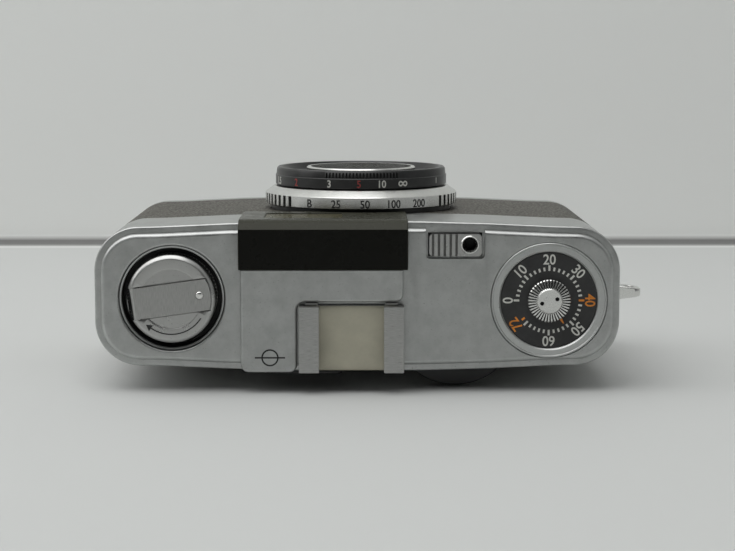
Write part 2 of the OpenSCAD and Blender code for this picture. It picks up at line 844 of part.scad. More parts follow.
// Button in the base that frees the sprocket for rewinding
module rewind_release() {
    color("silver") union() {
        post(wheel_x, wheel_y, 2.5, 0.1, 1.3);
        post(wheel_x, wheel_y, 1.6, 1.2, 4.3);
    }
}

main_casting();
floor_plate();
deck_plate();
film_gate();
top_cover();
finder_cover();
finder_bezel();
finder_window();
finder_tube();
eyepiece_frame();
eyepiece_lens();
accessory_shoe();
shoe_floor();
counter_dial();
counter_bezel();
rewind_cup();
leather_left();
leather_right();
lens_mount();
shutter_housing();
rear_element();
flash_socket();
strap_lug();
lug_washer();
tripod_socket();
light_seal();
cover_screws();
release_guide();
rewind_knob();
rewind_shaft();
crank_pin();
rewind_crank();
crank_rivet();
thumb_wheel();
wheel_shaft();
sprocket();
drive_gear();
idler_gear();
takeup_spool();
spool_gear();
counter_knob();
counter_pointer();
counter_wheel();
release_button();
release_rod();
button_spring();
speed_ring();
focus_ring();
front_cell();
front_element();
aperture_ring();
shutter_blade_a();
shutter_blade_b();
aperture_blade_a();
aperture_blade_b();
back_shell();
back_leather();
pressure_plate();
lock_key();
rewind_release();
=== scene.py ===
"""Looks of a compact half frame camera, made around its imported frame."""

import json
import math

import bmesh
import bpy
from mathutils import Matrix, Vector


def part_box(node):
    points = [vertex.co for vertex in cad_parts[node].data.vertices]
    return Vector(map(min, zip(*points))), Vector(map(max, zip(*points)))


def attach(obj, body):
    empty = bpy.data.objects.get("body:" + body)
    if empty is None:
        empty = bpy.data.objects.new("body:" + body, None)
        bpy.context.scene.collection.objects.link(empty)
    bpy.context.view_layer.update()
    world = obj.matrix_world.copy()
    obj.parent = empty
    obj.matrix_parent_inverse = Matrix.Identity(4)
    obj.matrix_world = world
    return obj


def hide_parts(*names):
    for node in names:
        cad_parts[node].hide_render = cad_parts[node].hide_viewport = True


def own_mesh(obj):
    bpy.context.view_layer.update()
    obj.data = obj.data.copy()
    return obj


bl_info = {
    "name": "Half Frame Camera",
    "version": (1, 0, 0),
    "blender": (4, 5, 0),
    "location": "3D View > Sidebar > Camera",
    "description": "Models the outside of a compact half frame camera and its stage",
    "category": "Object",
}

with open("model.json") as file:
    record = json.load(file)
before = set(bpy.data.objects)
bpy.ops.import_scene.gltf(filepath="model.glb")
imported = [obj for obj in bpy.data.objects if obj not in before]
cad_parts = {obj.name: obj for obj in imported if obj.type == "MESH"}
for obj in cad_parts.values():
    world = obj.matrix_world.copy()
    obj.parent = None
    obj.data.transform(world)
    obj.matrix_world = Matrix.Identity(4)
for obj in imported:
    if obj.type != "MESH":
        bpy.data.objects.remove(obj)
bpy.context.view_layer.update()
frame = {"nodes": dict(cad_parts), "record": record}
NODES = frame["nodes"]
MM = 0.001
TINY = 1e-5


def middle(node):
    """The middle of a CAD node's box."""
    low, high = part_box(node)
    return (low + high) / 2


LOW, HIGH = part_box("top_cover")
SHIFT = (LOW.x + HIGH.x) / 2
FRONT_Y = LOW.y
BACK_Y = HIGH.y
TOP_Z = HIGH.z
JOINT_Z = LOW.z
LENS = Vector((0, FRONT_Y, middle("focus_ring").z))
SUPPLY = Vector((middle("rewind_cup").x, middle("rewind_cup").y, TOP_Z))
COUNTER = Vector((middle("counter_dial").x, middle("counter_dial").y, TOP_Z))
WHEEL = middle("thumb_wheel")
BASE_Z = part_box("back_shell")[0].z


# ---- Settings ----


class BodySettings(bpy.types.PropertyGroup):
    """Sizes of the body and its covers"""

    corner: bpy.props.FloatProperty(
        name="Corner radius", description="Radius of the four upright corners",
        default=9 * MM, unit="LENGTH",
    )
    front_bow: bpy.props.FloatProperty(
        name="Front bow", description="How far the front falls away at the ends",
        default=2 * MM, unit="LENGTH",
    )
    back_bow: bpy.props.FloatProperty(
        name="Back bow", description="How far the back falls away at the ends",
        default=2 * MM, unit="LENGTH",
    )
    ledge: bpy.props.FloatProperty(
        name="Ledge", description="Width of the step around the top plate",
        default=1.4 * MM, unit="LENGTH",
    )
    panel_rise: bpy.props.FloatProperty(
        name="Panel rise", description="Height of the top plate above the step",
        default=1.4 * MM, unit="LENGTH",
    )
    rim: bpy.props.FloatProperty(
        name="Rim radius", description="Rounding of the raised top plate's rim",
        default=1.0 * MM, unit="LENGTH",
    )
    sheet: bpy.props.FloatProperty(
        name="Sheet", description="Thickness of the pressed covers",
        default=0.9 * MM, unit="LENGTH",
    )
    skin: bpy.props.FloatProperty(
        name="Skin", description="Thickness of the leatherette",
        default=0.56 * MM, unit="LENGTH",
    )


class LensSettings(bpy.types.PropertyGroup):
    """Sizes of the rings around the lens"""

    speed_pitch: bpy.props.FloatProperty(
        name="Speed step", description="Turn between two shutter speeds",
        default=math.radians(16.8), unit="ROTATION",
    )
    groove_count: bpy.props.IntProperty(
        name="Grooves", description="Grooves around the whole speed ring", default=72,
    )
    tooth_count: bpy.props.IntProperty(
        name="Fine teeth", description="Fine teeth around the focusing ring", default=160,
    )
    digit: bpy.props.FloatProperty(
        name="Digit height", description="Height of the numbers on the rings",
        default=1.75 * MM, unit="LENGTH",
    )


class FinishSettings(bpy.types.PropertyGroup):
    """Colours of the main finishes"""

    satin: bpy.props.FloatVectorProperty(
        name="Satin metal", description="Satin chrome of the covers",
        default=(0.55, 0.56, 0.55), subtype="COLOR", min=0, max=1,
    )
    bright: bpy.props.FloatVectorProperty(
        name="Bright metal", description="Polished rings and small parts",
        default=(0.72, 0.72, 0.70), subtype="COLOR", min=0, max=1,
    )
    enamel: bpy.props.FloatVectorProperty(
        name="Enamel", description="Black enamel of the lens and the dial",
        default=(0.012, 0.012, 0.012), subtype="COLOR", min=0, max=1,
    )
    smoke: bpy.props.FloatVectorProperty(
        name="Smoked plastic", description="Front of the viewfinder",
        default=(0.045, 0.045, 0.034), subtype="COLOR", min=0, max=1,
    )
    leather: bpy.props.FloatVectorProperty(
        name="Leatherette", description="Grained covering",
        default=(0.085, 0.080, 0.066), subtype="COLOR", min=0, max=1,
    )
    cream: bpy.props.FloatVectorProperty(
        name="Cream", description="Aged paint on the floor of the shoe",
        default=(0.45, 0.43, 0.34), subtype="COLOR", min=0, max=1,
    )
    marks: bpy.props.FloatVectorProperty(
        name="Orange marks", description="Marks picked out in orange",
        default=(0.80, 0.27, 0.03), subtype="COLOR", min=0, max=1,
    )


class StageSettings(bpy.types.PropertyGroup):
    """The studio: where the camera stands and how bright the lights are"""

    distance: bpy.props.FloatProperty(
        name="Distance", description="Camera's height over the top plate",
        default=375 * MM, unit="LENGTH",
    )
    tilt: bpy.props.FloatProperty(
        name="Tilt", description="Camera's tilt away from straight down on the top plate",
        default=math.radians(7.07), unit="ROTATION",
    )
    turn: bpy.props.FloatProperty(
        name="Turn", description="Camera's small sideways turn",
        default=math.radians(0.27), unit="ROTATION",
    )
    focal: bpy.props.FloatProperty(
        name="Focal length", description="Focal length of the view, in millimetres",
        default=90.5,
    )
    table: bpy.props.FloatVectorProperty(
        name="Table", description="Colour of the table",
        default=(0.59, 0.60, 0.59), subtype="COLOR", min=0, max=1,
    )
    wall: bpy.props.FloatVectorProperty(
        name="Wall", description="Colour of the wall behind",
        default=(0.88, 0.89, 0.87), subtype="COLOR", min=0, max=1,
    )


# ---- Modelling helpers ----


def open_edit(piece):
    """Puts one piece alone into edit mode."""
    bpy.ops.object.select_all(action="DESELECT")
    piece.select_set(True)
    bpy.context.view_layer.objects.active = piece
    bpy.ops.object.mode_set(mode="EDIT")


def close_edit():
    bpy.ops.object.mode_set(mode="OBJECT")


def pick(kind, test):
    """Selects the vertices, edges or faces that pass a test, in edit mode."""
    bpy.ops.mesh.select_mode(type=kind)
    bpy.ops.mesh.select_all(action="DESELECT")
    mesh = bmesh.from_edit_mesh(bpy.context.object.data)
    mesh.normal_update()
    groups = {"VERT": mesh.verts, "EDGE": mesh.edges, "FACE": mesh.faces}
    for item in groups[kind]:
        if test(item):
            item.select_set(True)
    mesh.select_flush_mode()
    bmesh.update_edit_mesh(bpy.context.object.data)


def edge_along(edge, axis):
    """True for an edge that runs along one axis: 0, 1 or 2."""
    run = edge.verts[1].co - edge.verts[0].co
    return abs(run[axis]) > 0.99 * run.length


def add(operator, name, **how):
    """Adds a primitive by its operator, with its place in its mesh."""
    bpy.ops.object.select_all(action="DESELECT")
    operator(**how)
    piece = bpy.context.object
    piece.name = name
    piece.data.name = name
    bpy.ops.object.transform_apply(location=True, rotation=True, scale=True)
    return piece


def block(name, low, high):
    """A box between two corners, as a start for a piece or a cutter."""
    low = Vector(low)
    high = Vector(high)
    return add(
        bpy.ops.mesh.primitive_cube_add, name,
        size=1, location=(low + high) / 2, scale=high - low,
    )


def disc(name, radius, low, high, at=(0, 0), sides=96):
    """An upright cylinder, as a start for a piece or a cutter."""
    return add(
        bpy.ops.mesh.primitive_cylinder_add, name, vertices=sides, radius=radius,
        depth=high - low, location=(at[0], at[1], (low + high) / 2),
    )


def turned(name, profile, sides=96, ring=False):
    """Turns a profile of (radius, height) about Z, ring by ring. A ring's profile closes."""
    radius, height = profile[0]
    piece = add(
        bpy.ops.mesh.primitive_circle_add, name,
        vertices=sides, radius=radius, location=(0, 0, height),
    )
    open_edit(piece)
    bpy.ops.mesh.select_mode(type="EDGE")
    bpy.ops.mesh.select_all(action="SELECT")
    for step in profile[1:] + (profile[:1] if ring else []):
        bpy.ops.mesh.extrude_edges_move(
            TRANSFORM_OT_translate={"value": (0, 0, step[1] - height)}
        )
        grow = step[0] / radius
        bpy.ops.transform.resize(value=(grow, grow, 1), center_override=(0, 0, step[1]))
        radius, height = step
    bpy.ops.mesh.select_all(action="SELECT")
    if ring:
        bpy.ops.mesh.remove_doubles(threshold=TINY * 0.1)
    else:
        bpy.ops.mesh.fill_holes(sides=0)
    bpy.ops.mesh.select_all(action="SELECT")
    bpy.ops.mesh.normals_make_consistent(inside=False)
    close_edit()
    return piece


def apply_modifier(piece, kind, **how):
    """Adds one modifier, sets it and applies it."""
    bpy.ops.object.select_all(action="DESELECT")
    piece.select_set(True)
    bpy.context.view_layer.objects.active = piece
    modifier = piece.modifiers.new(kind.title(), kind)
    for key, value in how.items():
        setattr(modifier, key, value)
    bpy.ops.object.modifier_apply(modifier=modifier.name)


def soften(piece, width, segments=2, angle=40):
    """Rounds every edge sharper than an angle."""
    apply_modifier(
        piece, "BEVEL", width=width, segments=segments,
        limit_method="ANGLE", angle_limit=math.radians(angle),
    )


def cut(piece, *cutters):
    """Cuts other solids out of a piece, and throws them away."""
    for cutter in cutters:
        apply_modifier(piece, "BOOLEAN", operation="DIFFERENCE", solver="EXACT", object=cutter)
        bpy.data.objects.remove(cutter)


def join(piece, *others):
    """Joins other pieces into one."""
    bpy.ops.object.select_all(action="DESELECT")
    for other in others:
        other.select_set(True)
    piece.select_set(True)
    bpy.context.view_layer.objects.active = piece
    bpy.ops.object.join()
    return piece


def place(piece, spot, turn=(0, 0, 0)):
    """Turns and moves a piece, and puts its place into its mesh."""
    bpy.ops.object.select_all(action="DESELECT")
    piece.select_set(True)
    bpy.context.view_layer.objects.active = piece
    piece.rotation_euler = turn
    piece.location = spot
    bpy.ops.object.transform_apply(location=True, rotation=True, scale=True)
    return piece


FORWARD = (math.radians(90), 0, 0)


def on_lens(piece):
    """Moves a piece turned about Z onto the lens axis, its +Z forward."""
    return place(piece, LENS, FORWARD)


def hand_over(piece, body, nodes, finish, smooth=30):
    """Gives a finished piece its body, the nodes that it stands for and its finish."""
    bpy.ops.object.select_all(action="DESELECT")
    piece.select_set(True)
    bpy.context.view_layer.objects.active = piece
    bpy.ops.object.shade_smooth_by_angle(angle=math.radians(smooth))
    apply_modifier(piece, "WEIGHTED_NORMAL", mode="FACE_AREA", keep_sharp=True)
    piece.data.materials.clear()
    piece.data.materials.append(finish)
    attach(piece, body)
    if nodes:
        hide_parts(*nodes)
    return piece


def body_plan(name, inset, height):
    """A flat face of the body's plan: bowed front and back, and round corners."""
    body = bpy.context.scene.half_frame_body
    full_w = (HIGH.x - LOW.x) / 2
    half_w = full_w - inset
    half_d = (BACK_Y - FRONT_Y) / 2 - inset
    piece = add(
        bpy.ops.mesh.primitive_plane_add, name,
        size=2, location=(SHIFT, 0, height), scale=(half_w, half_d, 1),
    )
    piece = resize_plane(piece, half_w, half_d)
    open_edit(piece)
    pick("EDGE", lambda e: edge_along(e, 0))
    bpy.ops.mesh.subdivide(number_cuts=7)
    for column in range(9):
        x = SHIFT + half_w * (column / 4 - 1)
        reach = min(abs(x - SHIFT), full_w - body.corner) / full_w
        for side, bow in ((-1, body.front_bow), (1, body.back_bow)):
            pick("VERT", lambda v: abs(v.co.x - x) < TINY and v.co.y * side > 0)
            bpy.ops.transform.translate(value=(0, -side * bow * reach ** 2, 0))
    pick("VERT", lambda v: abs(v.co.x - SHIFT) > half_w - TINY)
    bpy.ops.mesh.bevel(affect="VERTICES", offset=body.corner - inset, segments=16)
    close_edit()
    return piece


def resize_plane(piece, half_w, half_d):
    """Makes sure that a plane has its full size, whatever its operator did with scale."""
    wide = max(v.co.x for v in piece.data.vertices) - min(v.co.x for v in piece.data.vertices)
    if abs(wide - 2 * half_w) > TINY:
        open_edit(piece)
        bpy.ops.mesh.select_all(action="SELECT")
        bpy.ops.transform.resize(
            value=(half_w, half_d, 1), center_override=(SHIFT, 0, piece.data.vertices[0].co.z)
        )
        close_edit()
    return piece


def raise_region(rise):
    """Extrudes the selected faces straight up by a distance."""
    bpy.ops.mesh.extrude_region_move(TRANSFORM_OT_translate={"value": (0, 0, rise)})


def body_slab(name, inset, low, high):
    """A closed slab of the body's plan between two heights."""
    piece = body_plan(name, inset, low)
    apply_modifier(piece, "SOLIDIFY", thickness=high - low, offset=1)
    return piece


# ---- Shader groups ----


def new_group(name, inputs, outputs):
    """An empty shader group with named inputs and outputs."""
    group = bpy.data.node_groups.new(name, "ShaderNodeTree")
    for label, kind, default in inputs:
        socket = group.interface.new_socket(label, in_out="INPUT", socket_type=kind)
        socket.default_value = default
    for label, kind in outputs:
        group.interface.new_socket(label, in_out="OUTPUT", socket_type=kind)
    return group, group.nodes.new("NodeGroupInput"), group.nodes.new("NodeGroupOutput")


def grain_group():
    """Fine sandblasted grain with a slow mottle: a bump normal and a 0 to 1 mottle."""
    group, source, sink = new_group(
        "fine_grain",
        [("Scale", "NodeSocketFloat", 9000), ("Depth", "NodeSocketFloat", 0.1)],
        [("Normal", "NodeSocketVector"), ("Mottle", "NodeSocketFloat"), ("Speck", "NodeSocketFloat")],
    )
    node, link = group.nodes.new, group.links.new
    place_at = node("ShaderNodeTexCoord")
    fine = node("ShaderNodeTexNoise")
    fine.inputs["Detail"].default_value = 3
    link(place_at.outputs["Object"], fine.inputs["Vector"])
    link(source.outputs["Scale"], fine.inputs["Scale"])
    bump = node("ShaderNodeBump")
    bump.inputs["Distance"].default_value = 0.00003
    link(fine.outputs["Fac"], bump.inputs["Height"])
    link(source.outputs["Depth"], bump.inputs["Strength"])
    slow = node("ShaderNodeTexNoise")
    slow.inputs["Scale"].default_value = 260
    slow.inputs["Detail"].default_value = 6
    slow.inputs["Roughness"].default_value = 0.65
    link(place_at.outputs["Object"], slow.inputs["Vector"])
    dots = node("ShaderNodeTexNoise")
    dots.inputs["Scale"].default_value = 2600
    dots.inputs["Detail"].default_value = 2
    link(place_at.outputs["Object"], dots.inputs["Vector"])
    limit = node("ShaderNodeMapRange")
    limit.inputs["From Min"].default_value = 0.66
    limit.inputs["From Max"].default_value = 0.74
    link(dots.outputs["Fac"], limit.inputs["Value"])
    link(bump.outputs["Normal"], sink.inputs["Normal"])
    link(slow.outputs["Fac"], sink.inputs["Mottle"])
    link(limit.outputs["Result"], sink.inputs["Speck"])
    return group


def leather_group():
    """Pebbled leatherette: cells with soft creases between them."""
    group, source, sink = new_group(
        "leather_pebbles",
        [("Scale", "NodeSocketFloat", 1500), ("Depth", "NodeSocketFloat", 0.8)],
        [("Normal", "NodeSocketVector"), ("Crease", "NodeSocketFloat")],
    )
    node, link = group.nodes.new, group.links.new
    place_at = node("ShaderNodeTexCoord")
    warp = node("ShaderNodeTexNoise")
    warp.inputs["Scale"].default_value = 700
    mixed = node("ShaderNodeMix")
    mixed.data_type = "VECTOR"
    mixed.inputs["Factor"].default_value = 0.0006
    cells = node("ShaderNodeTexVoronoi")
    cells.feature = "SMOOTH_F1"
    cells.inputs["Smoothness"].default_value = 0.45
    link(place_at.outputs["Object"], warp.inputs["Vector"])
    link(place_at.outputs["Object"], mixed.inputs[4])
    link(warp.outputs["Color"], mixed.inputs[5])
    link(mixed.outputs[1], cells.inputs["Vector"])
    link(source.outputs["Scale"], cells.inputs["Scale"])
    lift = node("ShaderNodeMapRange")
    lift.inputs["From Min"].default_value = 0.15
    lift.inputs["From Max"].default_value = 0.75
    lift.inputs["To Min"].default_value = 1
    lift.inputs["To Max"].default_value = 0
    link(cells.outputs["Distance"], lift.inputs["Value"])
    bump = node("ShaderNodeBump")
    bump.inputs["Distance"].default_value = 0.00012
    link(lift.outputs["Result"], bump.inputs["Height"])
    link(source.outputs["Depth"], bump.inputs["Strength"])
    link(bump.outputs["Normal"], sink.inputs["Normal"])
    link(lift.outputs["Result"], sink.inputs["Crease"])
    return group


def brush_group():
    """Turned or brushed streaks: noise stretched by a mapping."""
    group, source, sink = new_group(
        "brushed_streaks",
        [("Stretch", "NodeSocketVector", (400, 9000, 9000)), ("Depth", "NodeSocketFloat", 0.1)],
        [("Normal", "NodeSocketVector"), ("Streak", "NodeSocketFloat")],
    )
    node, link = group.nodes.new, group.links.new
    place_at = node("ShaderNodeTexCoord")
    mapping = node("ShaderNodeMapping")
    streak = node("ShaderNodeTexNoise")
    streak.inputs["Scale"].default_value = 1
    streak.inputs["Detail"].default_value = 4
    link(place_at.outputs["Object"], mapping.inputs["Vector"])
    link(source.outputs["Stretch"], mapping.inputs["Scale"])
    link(mapping.outputs["Vector"], streak.inputs["Vector"])
    bump = node("ShaderNodeBump")
    bump.inputs["Distance"].default_value = 0.00002
    link(streak.outputs["Fac"], bump.inputs["Height"])
    link(source.outputs["Depth"], bump.inputs["Strength"])
    link(bump.outputs["Normal"], sink.inputs["Normal"])
    link(streak.outputs["Fac"], sink.inputs["Streak"])
    return group


# ---- Finishes ----

GROUPS = {}
FINISHES = {}


def new_finish(name, group, **values):
    """A material with a Principled shader and one shader group placed beside it."""
    made = bpy.data.materials.new(name)
    made.use_nodes = True
    tree = made.node_tree
    shader = tree.nodes["Principled BSDF"]
    effect = tree.nodes.new("ShaderNodeGroup")
    effect.node_tree = GROUPS[group]
    for label, value in values.items():
        effect.inputs[label.replace("_", " ").title()].default_value = value
    tree.links.new(effect.outputs["Normal"], shader.inputs["Normal"])
    FINISHES[name] = made
    return made, tree, shader, effect


def ramp(tree, source, target, stops):
    """A colour ramp from a 0 to 1 output to an input, with (place, colour) stops."""
    node = tree.nodes.new("ShaderNodeValToRGB")
    while len(node.color_ramp.elements) < len(stops):
        node.color_ramp.elements.new(0.5)
    for element, (spot, colour) in zip(node.color_ramp.elements, stops):
        element.position = spot
        element.color = (*colour, 1)
    tree.links.new(source, node.inputs["Fac"])
    tree.links.new(node.outputs["Color"], target)
    return node


def spread(tree, source, target, low, high, from_low=0.3, from_high=0.7):
    """Maps a 0 to 1 output onto a range of values for an input."""
    node = tree.nodes.new("ShaderNodeMapRange")
    node.inputs["From Min"].default_value = from_low
    node.inputs["From Max"].default_value = from_high
    node.inputs["To Min"].default_value = low
    node.inputs["To Max"].default_value = high
    tree.links.new(source, node.inputs["Value"])
    tree.links.new(node.outputs["Result"], target)
    return node


def shade(colour, factor):
    return tuple(min(1.0, c * factor) for c in colour)


def metal_finish(name, colour, rough, scale=9000, depth=0.1, contrast=0.12):
    """Metal with fine grain, a slow mottle in colour and roughness, and dark specks."""
    made, tree, shader, grain = new_finish(name, "fine_grain", scale=scale, depth=depth)
    shader.inputs["Metallic"].default_value = 1
    mottle = ramp(tree, grain.outputs["Mottle"], shader.inputs["Base Color"], [
        (0.35, shade(colour, 1 - contrast)), (0.65, shade(colour, 1 + contrast)),
    ])
    specks = tree.nodes.new("ShaderNodeMix")
    specks.data_type = "RGBA"
    specks.inputs[7].default_value = (*shade(colour, 0.72), 1)
    tree.links.new(grain.outputs["Speck"], specks.inputs["Factor"])
    tree.links.new(mottle.outputs["Color"], specks.inputs[6])
    tree.links.new(specks.outputs[2], shader.inputs["Base Color"])
    spread(tree, grain.outputs["Mottle"], shader.inputs["Roughness"], rough * 0.85, rough * 1.15)
    return made


def brushed_finish(name, colour, rough, stretch, depth=0.15):
    """Metal with fine streaks along one direction."""
    made, tree, shader, streaks = new_finish(name, "brushed_streaks", stretch=stretch, depth=depth)
    shader.inputs["Metallic"].default_value = 1
    ramp(tree, streaks.outputs["Streak"], shader.inputs["Base Color"], [
        (0.35, shade(colour, 0.85)), (0.65, shade(colour, 1.12)),
    ])
    spread(tree, streaks.outputs["Streak"], shader.inputs["Roughness"], rough * 0.8, rough * 1.2)
    return made


def coated_finish(name, colour, rough, scale=5000, depth=0.05, wear=1.6, coat=0.0):
    """Paint or plastic with a light grain and uneven gloss."""
    made, tree, shader, grain = new_finish(name, "fine_grain", scale=scale, depth=depth)
    shader.inputs["Coat Weight"].default_value = coat
    ramp(tree, grain.outputs["Mottle"], shader.inputs["Base Color"], [
        (0.4, colour), (0.72, shade(colour, wear)),
    ])
    spread(tree, grain.outputs["Mottle"], shader.inputs["Roughness"], rough * 0.8, rough * 1.25)
    return made


def leather_finish(name, colour):
    made, tree, shader, pebbles = new_finish(name, "leather_pebbles", scale=2000, depth=0.9)
    # Painted shade and light: the creases are painted darker and the pebble tops lighter.
    ramp(tree, pebbles.outputs["Crease"], shader.inputs["Base Color"], [
        (0.05, shade(colour, 0.55)), (0.8, shade(colour, 1.3)),
    ])
    spread(tree, pebbles.outputs["Crease"], shader.inputs["Roughness"], 0.75, 0.42, 0, 1)
    return made


def glass_finish(name, tint):
    made, tree, shader, grain = new_finish(name, "fine_grain", scale=3000, depth=0.003)
    shader.inputs["Transmission Weight"].default_value = 1
    shader.inputs["IOR"].default_value = 1.5
    shader.inputs["Coat Weight"].default_value = 0.5
    ramp(tree, grain.outputs["Mottle"], shader.inputs["Base Color"], [
        (0.3, tint), (0.7, shade(tint, 1.05)),
    ])
    spread(tree, grain.outputs["Mottle"], shader.inputs["Roughness"], 0.01, 0.03)
    return made


def smoked_finish(name, colour):
    """Dark olive plastic whose colour is painted by facing: faces that look up are painted far darker as painted
    shade, and the front keeps a lighter colour that stands for the little light it lets through.
    """
    made, tree, shader, grain = new_finish(name, "fine_grain", scale=2500, depth=0.02)
    # Painted shade: the base colour darkens as the face turns upwards.
    surface = tree.nodes.new("ShaderNodeNewGeometry")
    split = tree.nodes.new("ShaderNodeSeparateXYZ")
    tree.links.new(surface.outputs["Normal"], split.inputs["Vector"])
    ramp(tree, split.outputs["Z"], shader.inputs["Base Color"], [
        (0.75, colour), (0.96, shade(colour, 0.12)),
    ])
    spread(tree, grain.outputs["Mottle"], shader.inputs["Roughness"], 0.22, 0.36)
    shader.inputs["Specular IOR Level"].default_value = 0.12
    return made


class HALFFRAME_OT_finishes(bpy.types.Operator):
    """Builds the shader groups and the finishes"""

    bl_idname = "half_frame.finishes"
    bl_label = "Finishes"

    def execute(self, context):
        look = context.scene.half_frame_finish
        GROUPS["fine_grain"] = grain_group()
        GROUPS["leather_pebbles"] = leather_group()
        GROUPS["brushed_streaks"] = brush_group()
        satin, bright = tuple(look.satin), tuple(look.bright)
        metal_finish("satin_metal", shade(satin, 0.86), 0.38, scale=7000, depth=0.9, contrast=0.1)
        metal_finish("bright_metal", bright, 0.16, depth=0.05, contrast=0.04)
        metal_finish("inner_steel", (0.45, 0.45, 0.45), 0.3)
        metal_finish("bare_metal", (0.6, 0.6, 0.6), 0.32)
        metal_finish("brass", (0.55, 0.38, 0.14), 0.3)
        metal_finish("blade_steel", (0.10, 0.10, 0.11), 0.35)
        brushed_finish("brushed_metal", (0.42, 0.42, 0.41), 0.33, (700, 9000, 9000))
        brushed_finish("crank_metal", (0.43, 0.43, 0.42), 0.36, (9000, 700, 9000), depth=0.05)
        metal_finish("ring_metal", bright, 0.24, depth=0.1, contrast=0.05)
        metal_finish("knob_metal", (0.46, 0.46, 0.45), 0.3, depth=0.1, contrast=0.05)
        metal_finish("dial_metal", satin, 0.34, scale=7000, depth=0.2, contrast=0.05)
        # Dark metal, used only as painted shade on the release button's groove floors.
        metal_finish("cup_metal", (0.16, 0.16, 0.155), 0.4, depth=0.1, contrast=0.05)
        coated_finish("dark_casting", (0.03, 0.03, 0.03), 0.6, depth=0.4)
        coated_finish("black_enamel", tuple(look.enamel), 0.33, depth=0.08, wear=2.2)
        coated_finish("dial_enamel", (0.02, 0.02, 0.02), 0.45, depth=0.1, wear=1.8)
        coated_finish("black_plastic", (0.014, 0.014, 0.014), 0.42, depth=0.15)
        coated_finish("shoe_cream", tuple(look.cream), 0.6, scale=2500, depth=0.25, wear=1.15)
        coated_finish("felt", (0.012, 0.012, 0.012), 0.95, scale=9000, depth=0.9)
        coated_finish("orange_paint", shade(look.marks, 0.7), 0.5)
        coated_finish("white_paint", (0.62, 0.62, 0.58), 0.5, wear=1.05)
        coated_finish("red_paint", (0.30, 0.045, 0.04), 0.5)
        # Black for print, also used as painted shade in grooves, holes and hollows.
        coated_finish("black_paint_and_shade", (0.01, 0.01, 0.01), 0.5)
        leather_finish("leatherette", tuple(look.leather))
        glass_finish("clear_glass", (0.86, 0.88, 0.92))
        smoked_finish("smoked_plastic", tuple(look.smoke))
        smoked_finish("smoked_window", (0.075, 0.07, 0.042))
        return {"FINISHED"}


# ---- Covers ----


def upright_cut(name, radius, spot, low=60 * MM, high=75 * MM):
    return disc(name, radius, low, high, (spot.x, spot.y), 128)


